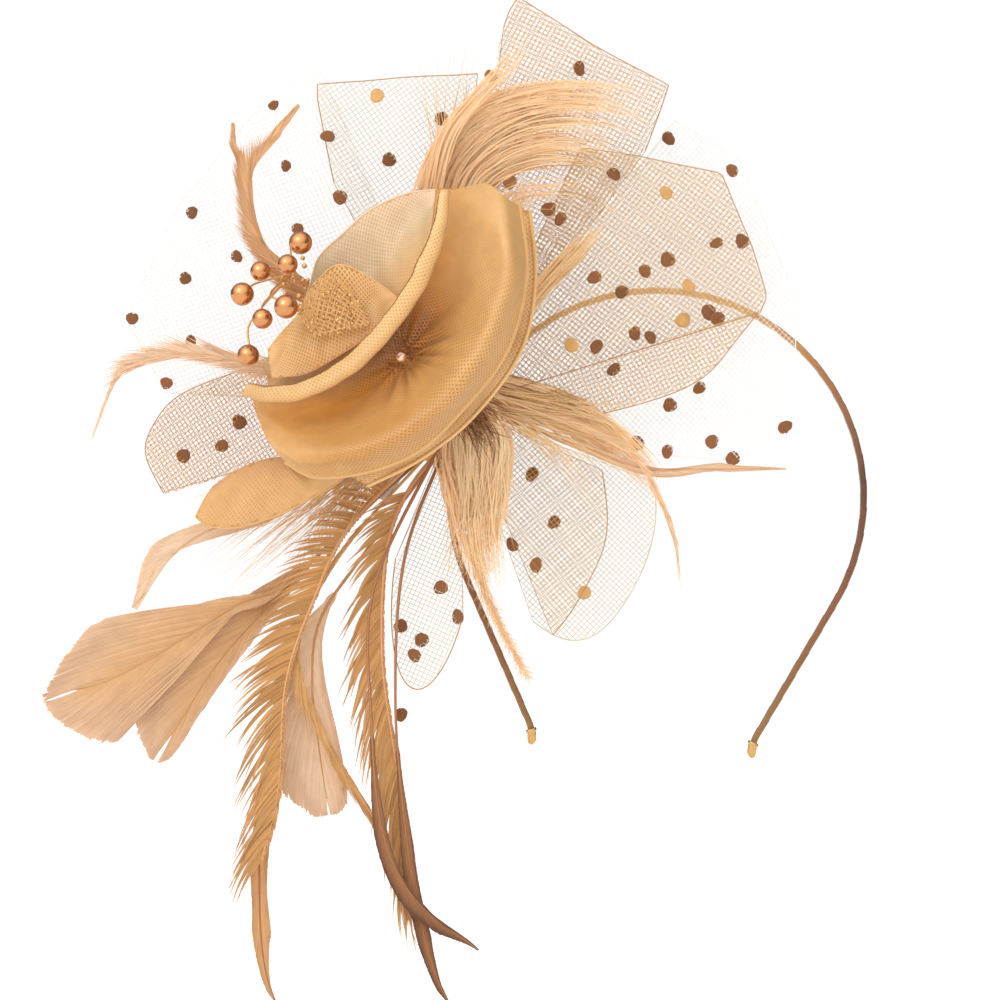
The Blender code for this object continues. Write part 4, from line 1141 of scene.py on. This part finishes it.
# name: (layer, count of barbs, tints, guide lines of (x, z), options of add_swath)
SWATHS = {
    "plume_top": (
        4, 560, (SILK, SILK_PEACH),
        [
            [(-76, -8), (-84, 20), (-82, 34), (-76, 46), (-65, 56), (-49, 62), (-30, 64), (-11, 62)],
            [(-70, -8), (-73, 22), (-69, 37), (-58, 48), (-42, 54), (-26, 54), (-12, 51)],
            [(-64, -10), (-63, 22), (-57, 32), (-47, 37), (-35, 38), (-20, 37)],
        ],
        {"wide": 0.6, "deep": 3.5, "lock": 0.35, "end": (0.55, 1.0), "stray": 1.6, "hairs": 4},
    ),
    "plume_top_wisps": (
        6, 90, (SILK, SILK_PEACH),
        [
            [(-82, 20), (-78, 44), (-69, 58), (-60, 69), (-55, 77)],
            [(-76, 20), (-72, 44), (-62, 58), (-53, 68), (-48, 77)],
        ],
        {"wide": 0.4, "stray": 0.8, "lock": 0.9, "end": (0.5, 1.0), "deep": 2.5},
    ),
    "plume_side": (
        5, 55, (SILK, SILK_PEACH),
        [
            [(-64, 10), (-58, 27), (-46, 33), (-32, 34), (-16, 27)],
            [(-60, -2), (-54, 18), (-44, 24), (-32, 25), (-20, 21)],
        ],
        {"wide": 0.35, "stray": 2.0, "end": (0.35, 0.95), "deep": 2.5},
    ),
    "marabou_right": (
        5, 250, (SILK, SILK_PEACH),
        [
            [(-60, -30), (-53, -29), (-34, -34), (-17, -42), (-5, -53), (1, -64)],
            [(-62, -38), (-57, -38), (-46, -41), (-30, -47), (-13, -56), (-2, -64)],
        ],
        {"end": (0.45, 1.0), "stray": 1.6, "deep": 2.5, "hairs": 4},
    ),
    "marabou_down": (
        9, 330, (SILK, SILK_PEACH),
        [
            [(-70, -38), (-72, -55), (-68, -71), (-63, -85), (-59, -95)],
            [(-57, -36), (-49, -50), (-49, -66), (-51, -82), (-49, -98)],
        ],
        {"wide": 0.55, "end": (0.4, 1.0), "stray": 2.0, "deep": 3.0, "hairs": 4},
    ),
}
GOLDEN_BARBS = (
    6, 150, (SILK, SILK_GOLD),
    [[(-62, -30), (-48, -6), (-36, 11), (-24, 22)], [(-56, -30), (-42, -6), (-31, 7), (-22, 18)]],
    {"stray": 0.5, "end": (0.6, 1.0)},
)
HACKLE_DOWN = [(-65, -50), (-61, -76), (-53, -101), (-41, -122)]


def make_plumes():
    for name, swath in SWATHS.items():
        make_swath(name, *swath)
    make_plume("hackle_down", 5, HACKLE_DOWN, (15, 14, 8), (26, 10), 0.7, (SILK, APRICOT), 2)
    make_swath("golden_barbs", *GOLDEN_BARBS)
    for name, spray in SPRAYS.items():
        make_spray(name, *spray)


def make_spray(name, layer, start, angles, lengths, count, tints):
    """Loose barbs from one place, fanned between two angles in degrees."""
    turn = np.radians(RNG.uniform(*angles, count))
    tone = blend(tints[0], tints[1], RNG.uniform(0, 1, count)) * RNG.uniform(0.88, 1.1, count)[:, None]
    starts = np.array(start) + RNG.uniform(-5.0, 5.0, (count, 2))
    bends, reach = RNG.uniform(-0.4, 0.4, count), RNG.uniform(*lengths, count)
    wide = np.full(count, 0.4) * RNG.uniform(0.6, 1.3, count)
    lift, curl = RNG.uniform(-1.5, 1.5, count), RNG.uniform(-6, 2, count)
    shape = Shape()
    where = (shape, layer, starts, turn, bends, reach)
    add_barbs(*where, wide, lift, curl, tone, tone * 0.92, steps=10, taper=1.7)
    shape.place(name, [VANE], "feather_peach")


# name: (layer, start, angles, lengths, count, tints)
SPRAYS = {
    "spray_right": (7, (-58, -38), (-34, -4), (24, 58), 110, (SILK, SILK_GOLD)),
    "spray_top": (3, (-72, 26), (66, 108), (20, 46), 60, (SILK, SILK_GOLD)),
    "spray_down": (8, (-62, -56), (-96, -64), (20, 46), 70, (SILK, SILK_GOLD)),
    "spray_left": (6, (-84, -52), (196, 236), (30, 76), 240, (PALE_GOLD, APRICOT)),
    # spray_dark: short dark brown barbs below the shell's edge. They are partly dark barbs and partly painted
    # shade in the gaps between the feathers there.
    "spray_dark": (14, (-63, -42), (-70, -8), (6, 16), 130, (DARK_BROWN, RUSSET)),
}


# name: (layer, look, route of (x, z) from the hub to the tip, changes to the look)
FEATHERS = {
    "goose_back": (
        2, "goose", [(-73, -48), (-102, -84), (-122, -107), (-138, -128), (-150, -150)],
        {"widths": [
            (0, 0.8, 0.8), (0.45, 1, 1), (0.6, 4, 7), (0.75, 6, 12),
            (0.9, 8, 13), (1, 8, 12), (1.05, 6, 9), (1.085, 2, 4),
        ]},
    ),
    "goose_front": (
        3, "goose", [
            (-74, -47), (-98, -80), (-119, -102), (-132, -108), (-153, -123), (-170, -134),
            (-180, -138),
        ], {},
    ),
    "goose_centre": (
        4, "goose", [(-70, -54), (-94, -91), (-106, -112), (-107, -132), (-103.5, -152), (-100, -168)],
        {"past": 1.04, "tint": BLUSH, "widths": [
            (0, 0.8, 0.8), (0.5, 1.5, 1.5), (0.6, 5, 6), (0.75, 10, 10),
            (0.88, 13, 12), (0.95, 12, 12), (1, 10, 10),
            (1.04, 5, 6),
        ]},
    ),
    "coque_left": (
        7, "coque", [
            (-71, -50), (-98, -81), (-108, -105), (-115, -131), (-115, -160), (-116, -174),
            (-119, -188),
        ], {},
    ),
    "coque_right": (
        8, "coque", [(-67, -50), (-80, -68), (-86, -89), (-85, -123), (-78, -157), (-72, -185), (-70, -194)],
        {"lean": (50, 22)},
    ),
    "coque_folded": (
        6, "slim", [(-72, -53), (-101, -91), (-112, -121), (-102, -147), (-86, -171), (-77, -188)],
        {
            "widths": [(0, 0.8, 0.8), (0.4, 0.8, 1.5), (0.6, 1, 3), (0.85, 1, 3), (1, 0.6, 1)],
            "shaft": HONEY, "lean": (12, 9), "most": 24, "gap": 0.6, "wide": 0.6, "tint": HONEY, "tip": TAWNY,
        },
    ),
    "blade_left": (
        5, "blade",
        [
            (-71, -52), (-101, -85), (-114, -118), (-118, -150), (-120, -177), (-119.5, -194), (-118, -211),
            (-115.5, -224), (-112, -233),
        ],
        {
            "widths": [
                (0, 0.6, 0.6), (0.6, 0.8, 0.8), (0.72, 4.0, 2.4), (0.88, 4.2, 2.6), (0.96, 2.2, 1.3),
                (1, 0.3, 0.3),
            ],
            "tip": TAWNY,
        },
    ),
    "blade_right_long": (
        9, "blade", [(-68, -50), (-80, -90), (-80, -135), (-74, -176), (-69, -198), (-63, -217), (-57, -229)],
        {"tint": BROWN, "tip": DARK_BROWN},
    ),
    "blade_right_short": (
        10, "blade", [(-70, -51), (-89, -100), (-87, -142), (-81, -177), (-69, -197), (-49, -211)],
        {"tint": BROWN, "tip": DARK_BROWN},
    ),
    "hackle_left": (
        5, "slim", [(-74, -40), (-101, -33), (-129, -32), (-150, -29), (-166, -32), (-175, -39), (-181, -57)],
        {
            "widths": [
                (0, 0.8, 0.8), (0.2, 4, 4), (0.45, 7.5, 6.5), (0.62, 9, 8),
                (0.74, 5, 4), (0.82, 1.2, 0.8), (1, 0.3, 0.2),
            ],
            "start": 0.1, "lean": (24, 12), "tint": BLUSH, "tip": PEACH_PINK, "gap": 0.5,
        },
    ),
    "hackle_right": (
        8, "slim", [(-58, -39), (-33, -43), (-11, -52), (-1, -65), (5, -78), (7, -87)],
        {"widths": [(0, 0.8, 0.8), (0.4, 2, 2), (0.7, 1.4, 1.8), (1, 0.4, 0.5)], "gap": 1.0, "lean": (16, 9)},
    ),
    "quill_left": (
        4, "blade", [(-74, -48), (-115, -73), (-149, -89), (-165, -111)],
        {
            "widths": [(0, 0.7, 0.7), (0.3, 1.6, 1.6), (0.6, 3.4, 3.0), (0.85, 3.6, 3.2), (1, 1.2, 1.2)],
            "start": 0.3, "tint": BLUSH, "tip": BLUSH, "shaft": BUFF,
        },
    ),
    "quill_right": (
        7, "blade", [(-58, -42), (-33, -49), (-6, -57), (14, -56), (39, -54.5)],
        {
            "widths": [(0, 0.8, 0.8), (0.5, 1.8, 1.8), (0.8, 1.6, 1.2), (0.95, 0.7, 0.5), (1, 0.2, 0.2)],
            "tint": BLUSH, "tip": BUFF, "start": 0.2, "shaft": RUSSET,
        },
    ),
    "biot_left": (
        7, "biot", [
            (-73, -36), (-95, -20), (-118, -8), (-130, 4), (-136, 18), (-138.5, 28), (-141, 35),
            (-142.5, 44),
        ], {},
    ),
    "biot_right": (
        8, "biot", [
            (-72, -35), (-95, -18), (-116, -6), (-128, 3), (-134, 14), (-136, 27), (-132, 36),
            (-122, 51),
        ], {},
    ),
}
BROWN_FEATHERS = {
    "coque_left", "coque_right", "blade_left", "blade_right_long", "blade_right_short", "quill_right",
}


# ---------------------------------------------------------------- petals


def surface(rows, count, across):
    """A grid on the smooth surface through rows of guide points."""
    lines = [Path(np.array(row, float) - (0, FLOWER_FORWARD, 0)).even(count) for row in rows]
    return np.stack([Path(np.array([line[i] for line in lines]), 12).even(across) for i in range(count)])


def grid_normals(grid):
    return unit(np.cross(np.gradient(grid, axis=0), np.gradient(grid, axis=1)))


def grid_tints(tones, count, across):
    """Colours over a grid from a small table of them: a row for each stop along it, each read across."""
    table = np.array(tones, float)
    rows = np.linspace(0, table.shape[0] - 1.001, count)
    columns = np.linspace(0, table.shape[1] - 1.001, across)
    i, j = np.meshgrid(rows, columns, indexing="ij")
    return read_grid(table, i.ravel(), j.ravel()).reshape(count, across, 3)


WEAVE_STEP = 1.3
WEAVE_ANGLES = (math.radians(45), math.radians(-45))


def add_weave(shape, grid, tints, pitch, wide, lift, facing=None):
    """Two families of flat threads over a grid, at an angle to its length."""
    rows, columns = grid.shape[:2]
    long = np.linalg.norm(np.diff(grid, axis=0), axis=-1).sum(axis=0).mean()
    broad = np.linalg.norm(np.diff(grid, axis=1), axis=-1).sum(axis=1).mean()
    normals = grid_normals(grid)
    facing = -np.sign(normals[..., 1].mean()) if facing is None else facing
    lifted = grid + normals * facing * lift
    reach = math.hypot(long, broad)
    steps = np.arange(-reach, reach, WEAVE_STEP)
    for turn in WEAVE_ANGLES:
        ahead = np.array((math.cos(turn), math.sin(turn)))
        side = np.array((-ahead[1], ahead[0]))
        for row in np.arange(-reach, reach, pitch):
            u = long / 2 + ahead[0] * steps + side[0] * row
            v = broad / 2 + ahead[1] * steps + side[1] * row
            held = (u >= 0) & (u <= long) & (v >= 0) & (v <= broad)
            if held.sum() < 3:
                continue
            i, j = u[held] / long * (rows - 1), v[held] / broad * (columns - 1)
            line = read_grid(lifted, i, j)
            across = unit(np.cross(along(line), read_grid(normals, i, j))) * wide / 2
            colour = np.repeat(read_grid(tints, i, j), 2, axis=0)
            shape.add(np.stack([line + across, line - across], axis=1), grid_faces(len(line), 2), colour)


THROAT = (-84.0, -27.0)
THROAT_PLEAT = 1.7
THROAT_REACH = 13.0


def throat_pleats(grid):
    """Gathers that run out from the throat."""
    dx, dz = grid[..., 0] - THROAT[0], grid[..., 2] - THROAT[1]
    spread = np.hypot(dx, dz)
    turn = np.arctan2(dz, dx)
    above, below = np.maximum(np.cos(turn - 0.9), 0), np.maximum(np.cos(turn + 1.9), 0)
    strong = 0.35 + 0.65 * above**2 + 0.3 * below**4
    folds = np.sin(turn * 15 + 1.3 * np.sin(turn * 2.3) + spread * 0.1)
    fading = np.exp(-((spread / (THROAT_REACH * (0.6 + 0.7 * strong))) ** 2))
    return THROAT_PLEAT * strong * fading * folds


RIPPLE = 0.35
WEAVE_LIFT = 0.14


def make_petal(name, size, weave, hem, sheet_tones, thread_tones, rows):
    """A petal of mesh cloth: a thin sheet, its raised weave, and a rolled hem along its last row."""
    count, across, *flat = size
    grid = surface(rows, count, across)
    i, j = np.meshgrid(np.linspace(0, 1, count), np.linspace(0, 1, across), indexing="ij")
    wavy = RIPPLE * (np.sin(i * 23 + j * 5) * j + 0.6 * np.sin(i * 41 + 2 - j * 9) * np.sin(math.pi * j))
    grid = grid + grid_normals(grid) * (wavy + throat_pleats(grid))[..., None]
    sheet, threads, edge = Shape(), Shape(), Shape()
    sheet.add(grid, grid_faces(count, across), grid_tints(sheet_tones, count, across).reshape(-1, 3))
    tints = grid_tints(thread_tones, count, across)
    add_weave(threads, grid, tints, *weave, WEAVE_LIFT)
    add_tube(edge, grid[:, -1], hem, tints[:, -1], sides=8)
    cloth = sheet.place(name + "_sheet", [ORGANZA], "crin", (name,))
    trims = [threads.place(name + "_weave", [CRIN], "crin"), edge.place(name + "_hem", [ORGANZA], "crin")]


# name: (size, weave, hem, sheet tints, thread tints, rows of guide points), where
# size is (points along, points across, flat length, flat width) and weave is (pitch, thread width).
# The outer shell goes down from behind the rolled rim into the throat, up over a crest, and back to its edge.
PETALS = {
    "petal_outer_shell": (
        (170, 70, 134, 56), (1.05, 0.55), 0.8,
        # In the outer shell's sheet tints and thread tints, the first column runs beside the rolled rim. It
        # is painted darker, down to UMBER in the throat: painted shade, the rim's shadow in the throat.
        [
            [TOFFEE, CARAMEL, HONEY, HONEY, HONEY],
            [AMBER, CARAMEL, CARAMEL, CARAMEL, CARAMEL],
            [UMBER, UMBER, TOFFEE, TOFFEE, TOFFEE],
            [UMBER, AMBER, SAFFRON, AMBER, AMBER],
            [AMBER, SAFFRON, SAFFRON, AMBER, AMBER],
            [TOFFEE, TOFFEE, CARAMEL, TOFFEE, TOFFEE],
        ],
        [
            [CARAMEL, HONEY, HONEY, HONEY, HONEY],
            [AMBER, CARAMEL, HONEY, HONEY, HONEY],
            [UMBER, AMBER, CARAMEL, HONEY, HONEY],
            [UMBER, SAFFRON, CARAMEL, CARAMEL, HONEY],
            [AMBER, SAFFRON, CARAMEL, CARAMEL, HONEY],
            [TOFFEE, CARAMEL, CARAMEL, HONEY, HONEY],
        ],
        [
            [
                (-77, -54, 27), (-78, -53, 13), (-82, -50, 1), (-88, -46, -12),
                (-95, -44, -24), (-106, -46, -33), (-119, -50, -38), (-132, -45, -38),
            ],
            [
                (-71, -57, 27), (-69, -55, 10), (-72, -51, -6), (-79, -46, -19),
                (-88, -43, -30), (-102, -46, -41), (-118, -50, -47), (-131, -44, -43),
            ],
            [
                (-61, -60, 29), (-58, -63, 8), (-63, -62, -11), (-71, -60, -25),
                (-81, -59, -37), (-97, -59, -49), (-115, -57, -54), (-128, -47, -50),
            ],
            [
                (-55, -61, 25), (-52, -68, 3), (-56, -70, -15), (-65, -70, -33),
                (-77, -69, -47), (-94, -67, -57), (-113, -61, -61), (-124, -50, -57),
            ],
            [
                (-50, -56, 23), (-47, -60, 1), (-50, -61, -19), (-61, -60, -38),
                (-74, -59, -53), (-91, -58, -63), (-108, -55, -66), (-119, -48, -62),
            ],
        ],
    ),
    "petal_outer_back": (
        (110, 18, 118, 15), (1.05, 0.55), 0.7,
        [[TOFFEE, CARAMEL], [TOFFEE, CARAMEL]],
        [[HONEY, GOLD], [HONEY, GOLD]],
        [
            [
                (-60, -49, 22), (-57, -49, 4), (-60, -49, -18), (-71, -49, -38), (-92, -49, -54),
                (-110, -49, -60),
            ],
            [
                (-47, -47, 22), (-44, -48, 0), (-47, -48, -22), (-60, -48, -43), (-76, -48, -58),
                (-93, -47, -68),
            ],
        ],
    ),
    "petal_back_cone": (
        (100, 50, 74, 29), (1.0, 0.5), 0.3,
        [[CARAMEL, HONEY, HONEY], [CARAMEL, HONEY, IVORY], [HONEY, HONEY, IVORY], [HONEY, HONEY, HONEY]],
        [[HONEY, HONEY, IVORY], [HONEY, IVORY, IVORY], [HONEY, IVORY, BLUSH], [GOLD, IVORY, BLUSH]],
        [
            [
                (-126, -48, -40), (-114, -50, -37), (-104, -50, -30), (-95, -49, -21),
                (-88, -49, -11), (-83, -50, -1), (-79, -51, 8), (-76, -52, 18),
            ],
            [
                (-127, -42, -35), (-118, -42, -30), (-110, -41, -20), (-105, -41, -9),
                (-98, -41, 1), (-91, -42, 9), (-83, -43, 16), (-77, -46, 22),
            ],
            [
                (-129, -40, -32), (-122, -40, -22), (-116, -41, -9), (-113, -41, 3),
                (-106, -42, 11), (-98, -42, 19), (-87, -42, 25), (-76, -44, 27),
            ],
        ],
    ),
    "petal_inner_fan": (
        (80, 40, 46, 22), (1.0, 0.45), 0.25,
        [
            [TOFFEE, TOFFEE, CARAMEL], [AMBER, TOFFEE, TOFFEE], [AMBER, TOFFEE, TOFFEE],
            [AMBER, TOFFEE, TOFFEE],
        ],
        [[HONEY, HONEY, GOLD], [CARAMEL, HONEY, GOLD], [CARAMEL, HONEY, GOLD], [CARAMEL, HONEY, HONEY]],
        [
            [
                (-125, -54, -36), (-114, -56, -34), (-103, -57, -27), (-95, -57, -21), (-89, -56, -14),
                (-85, -55, -10),
            ],
            [
                (-126, -52, -32), (-116, -54, -25), (-109, -54, -19), (-101, -54, -14), (-92, -54, -12),
                (-86, -54, -10),
            ],
            [
                (-127, -50, -27), (-118, -50, -15), (-113, -51, -5), (-106, -51, 1), (-95, -52, -3),
                (-86, -53, -9),
            ],
        ],
    ),
    "petal_lower": (
        (80, 26, 50, 18), (1.0, 0.7), 0.3,
        [[TOFFEE, TAWNY, TAWNY], [TOFFEE, TOFFEE, TAWNY]],
        [[TAWNY, HONEY, HONEY], [TAWNY, HONEY, HONEY]],
        [
            [
                (-142, -40, -71), (-134, -41, -65), (-124, -42, -61), (-112, -42, -60), (-104, -42, -60),
                (-98, -42, -58),
            ],
            [
                (-145, -39, -76), (-139, -41, -76), (-129, -42, -73), (-116, -43, -69), (-105, -43, -65),
                (-98, -42, -61),
            ],
            [
                (-147, -37, -81), (-142, -38, -84), (-131, -40, -83), (-117, -41, -77), (-106, -42, -70),
                (-98, -41, -64),
            ],
        ],
    ),
}


RIM_ROUTE = [
    (-133, -50, -40), (-125, -57, -41), (-114, -61, -39), (-101, -62, -31), (-91, -63, -20),
    (-82, -65, -6), (-78, -66, 4), (-75, -66, 14), (-74, -62, 26),
]
RIM_SIZE = (140, 34)
# The roll's half width and half thickness at parts of its length
RIM_PARTS = [0, 0.15, 0.4, 0.75, 1]
RIM_HALVES = [2.4, 3.3, 3.6, 3.0, 1.6]
RIM_DEPTHS = [0.8, 1.4, 1.9, 1.7, 1.0]


def make_rolled_rim():
    """The rolled front edge of the left petal: a flattened fold of cloth, fuller in its middle."""
    count, columns = RIM_SIZE
    line = Path(np.array(RIM_ROUTE, float) - (0, FLOWER_FORWARD, 0)).even(count)
    part = np.linspace(0, 1, count)
    half = np.interp(part, RIM_PARTS, RIM_HALVES)[:, None]
    deep = np.interp(part, RIM_PARTS, RIM_DEPTHS)[:, None]
    side = unit(np.cross(along(line), (0.0, 1.0, 0.0)))
    up = np.cross(side, along(line))
    turns = np.linspace(0.0, TAU * 0.97, columns) - 0.5
    lean = 0.5 + 0.25 * np.sin(part * 5)[:, None]
    across = half * np.cos(turns) + 0.12 * np.sin(part * 60)[:, None]
    through = deep * np.sin(turns)
    grid = line[:, None] + side[:, None] * (across * np.cos(lean) - through * np.sin(lean))[..., None]
    grid = grid + up[:, None] * (across * np.sin(lean) + through * np.cos(lean))[..., None]
    # facing runs across the roll. The roll and its weave are painted lighter on one side and darker on the
    # other: painted highlight and painted shade across the fold.
    facing = np.clip(0.5 + across / half / 2, 0, 1)
    outward = np.sign((grid_normals(grid) * (grid - line[:, None])).sum(axis=-1).mean())
    roll, threads = Shape(), Shape()
    roll.add(grid, grid_faces(count, columns), blend(CARAMEL, HONEY, facing).reshape(-1, 3))
    add_weave(threads, grid, blend(HONEY, PALE_GOLD, facing), 1.0, 0.5, 0.1, facing=outward)
    cloth = roll.place("petal_rolled_rim_sheet", [ORGANZA], "crin", ("petal_rolled_rim",))
    trim = threads.place("petal_rolled_rim_weave", [CRIN], "crin")


GLITTER_ROWS = [
    [(-119, -56, -14), (-114, -57, -6), (-108, -57, -2), (-102, -57, -6)],
    [(-112, -58, -22), (-106, -59, -21), (-100, -59, -19), (-94, -58, -18)],
]
GLITTER_SIZE = (24, 20)
FLAKES = 230


def make_glitter():
    """A patch of coarse net with gilt flakes on it, tucked in beside the pearls."""
    grid = surface(GLITTER_ROWS, *GLITTER_SIZE)
    net, flakes = Shape(), Shape()
    add_weave(net, grid, grid_tints([[CARAMEL, TAWNY], [CARAMEL, HONEY]], *GLITTER_SIZE), 1.5, 0.5, 0.0)
    for _ in range(FLAKES):
        i, j = np.clip(RNG.normal(11, 7, 1), 0, 23), np.clip(RNG.normal(10, 6, 1), 0, 19)
        centre = read_grid(grid, i, j)[0] + (0, -0.3, 0)
        radius, tint = RNG.uniform(0.15, 0.42), blend(UMBER, GOLD, RNG.uniform())
        add_ball(flakes, centre, radius, tint, rows=4, columns=5, squash=(1, 0.5, 1))
    cloth = net.place("glitter_net", [CRIN], "glitter", ("glitter_mesh",))
    trim = flakes.place("glitter_flakes", [GLITTER], "glitter", smooth=False)


# ---------------------------------------------------------------- pearls

# name: where its wire bends
PEARLS = {
    "pearl_top": (-122, -49, 7),
    "pearl_upper": (-124, -54, -1),
    "pearl_left_upper": (-127, -48, -1),
    "pearl_left": (-132, -49, -6),
    "pearl_right": (-127, -57, -9),
    "pearl_lower": (-129, -52, -12),
    "pearl_lowest": (-133, -48, -18),
}
PEARL_ROOT = (-121.0, -42.3, -2.0)
WIRE_RADIUS = 0.35
BEAD_RADIUS = 1.9


GOLD_BUDS = 16


def make_pearls():
    """Copper pearls on wired stems, with a gilt cup behind each one and gilt buds round their root."""
    stems = Shape()
    for name, bend in PEARLS.items():
        low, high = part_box(name)
        centre = middle(name)
        radius = (high.x - low.x) / MM / 2
        shape = Shape()
        add_ball(shape, centre, radius, COPPER, rows=26, columns=36)
        shape.place(name + "_ball", [PEARL], "pearl", (name,))
        back = unit(np.array(bend) - centre)
        line = catmull([PEARL_ROOT, bend, centre + back * radius], 8)
        add_tube(stems, line, WIRE_RADIUS, GOLD, sides=7)
        add_ball(stems, centre + back * radius * 0.97, 0.9, GOLD, rows=8, columns=12)
    add_ball(stems, PEARL_ROOT, 1.3, GOLD)
    for _ in range(GOLD_BUDS):
        place = np.array(PEARL_ROOT) + (RNG.uniform(-3, 6), -6 - RNG.uniform(0, 12), RNG.uniform(-8, 6))
        add_ball(stems, place, RNG.uniform(0.5, 1.0), GOLD * 0.9, rows=6, columns=9)
    stems.place("pearl_wires", [GILT], "gilt", ("pearl_stems",))
    bead = Shape()
    add_ball(bead, middle("centre_bead"), BEAD_RADIUS, PINK_PEARL, rows=16, columns=20)
    bead.place("centre_bead_ball", [PEARL], "pearl", ("centre_bead",))


# ---------------------------------------------------------------- stage


# The stage, in metres
FLOOR_SIZE = 6.0
FLOOR_Z = -0.32
KEY_PLACE = Vector((-0.9, -1.1, 0.9))
KEY_AIM = Vector((-0.05, 0, -0.07))
CAMERA_AIM = Vector((-0.0508, -0.03, -0.0699))
CAMERA_DISTANCE = 2.0
FRAME_WIDTH = 0.32
SENSOR_WIDTH = 36.0


def make_floor():
    mat, _, shader = new_nodes("floor_white")
    shader.inputs["Base Color"].default_value = (0.96, 0.96, 0.96, 1.0)
    shader.inputs["Roughness"].default_value = 0.9
    shader.inputs["Emission Color"].default_value = WHITE
    shader.inputs["Emission Strength"].default_value = 0.3
    mesh = bpy.data.meshes.new("floor")
    corners = [(x * FLOOR_SIZE, y * FLOOR_SIZE, FLOOR_Z) for x, y in ((-1, -1), (1, -1), (1, 1), (-1, 1))]
    mesh.from_pydata(corners, [], [(0, 1, 2, 3)])
    mesh.materials.append(mat)
    floor = bpy.data.objects.new("floor", mesh)
    bpy.context.scene.collection.objects.link(floor)


def make_lights():
    world = bpy.data.worlds.new("studio")
    bpy.context.scene.world = world
    world.use_nodes = True
    light_sky(world.node_tree)
    lamp = bpy.data.lights.new("key", "AREA")
    lamp.energy = 6.0
    lamp.size = 0.9
    key = bpy.data.objects.new("key", lamp)
    key.location = KEY_PLACE
    key.rotation_euler = (KEY_AIM - KEY_PLACE).to_track_quat("-Z", "Y").to_euler()
    bpy.context.scene.collection.objects.link(key)


def eased(tree, value, near, far, low, high):
    """A value between near and far, eased to lie between low and high."""
    node = tree.nodes.new("ShaderNodeMapRange")
    node.interpolation_type = "SMOOTHSTEP"
    for name, setting in (("From Min", near), ("From Max", far), ("To Min", low), ("To Max", high)):
        node.inputs[name].default_value = setting
    tree.links.new(value, node.inputs["Value"])
    return node.outputs["Result"]


def light_sky(tree):
    """A plain white ground behind, and soft light that is stronger from above and the left."""
    ground = tree.nodes["Background"]
    ground.inputs["Color"].default_value = WHITE
    ground.inputs["Strength"].default_value = 1.02
    light = tree.nodes.new("ShaderNodeBackground")
    place = tree.nodes.new("ShaderNodeTexCoord")
    dot = tree.nodes.new("ShaderNodeVectorMath")
    dot.operation = "DOT_PRODUCT"
    dot.inputs[1].default_value = (-0.36, -0.62, 0.70)
    tree.links.new(place.outputs["Generated"], dot.inputs[0])
    path = tree.nodes.new("ShaderNodeLightPath")
    choice = tree.nodes.new("ShaderNodeMix")
    tree.links.new(path.outputs["Is Glossy Ray"], choice.inputs["Factor"])
    tree.links.new(eased(tree, dot.outputs["Value"], -0.8, 0.95, 0.55, 1.34), choice.inputs["A"])
    tree.links.new(eased(tree, dot.outputs["Value"], 0.0, 0.95, 0.08, 2.2), choice.inputs["B"])
    tree.links.new(choice.outputs["Result"], light.inputs["Strength"])
    mix = tree.nodes.new("ShaderNodeMixShader")
    tree.links.new(path.outputs["Is Camera Ray"], mix.inputs["Fac"])
    tree.links.new(light.outputs["Background"], mix.inputs[1])
    tree.links.new(ground.outputs["Background"], mix.inputs[2])
    tree.links.new(mix.outputs["Shader"], tree.nodes["World Output"].inputs["Surface"])


def make_camera():
    data = bpy.data.cameras.new("camera")
    data.sensor_width = SENSOR_WIDTH
    data.lens = SENSOR_WIDTH * CAMERA_DISTANCE / FRAME_WIDTH
    data.clip_start, data.clip_end = 0.1, 50.0
    camera = bpy.data.objects.new("camera", data)
    camera.location = CAMERA_AIM - Vector((0, CAMERA_DISTANCE, 0))
    camera.rotation_euler = (math.pi / 2, math.radians(-3.5), 0)
    bpy.context.scene.collection.objects.link(camera)
    bpy.context.scene.camera = camera
    bpy.context.scene.view_settings.view_transform = "Standard"


make_band()
make_base()
make_clip()
for net in NETS:
    make_net(net)
make_plumes()
for name, feather in FEATHERS.items():
    make_feather(name, *feather)
for name, petal in PETALS.items():
    make_petal(name, *petal)
make_rolled_rim()
make_glitter()
make_pearls()
make_floor()
make_lights()
make_camera()
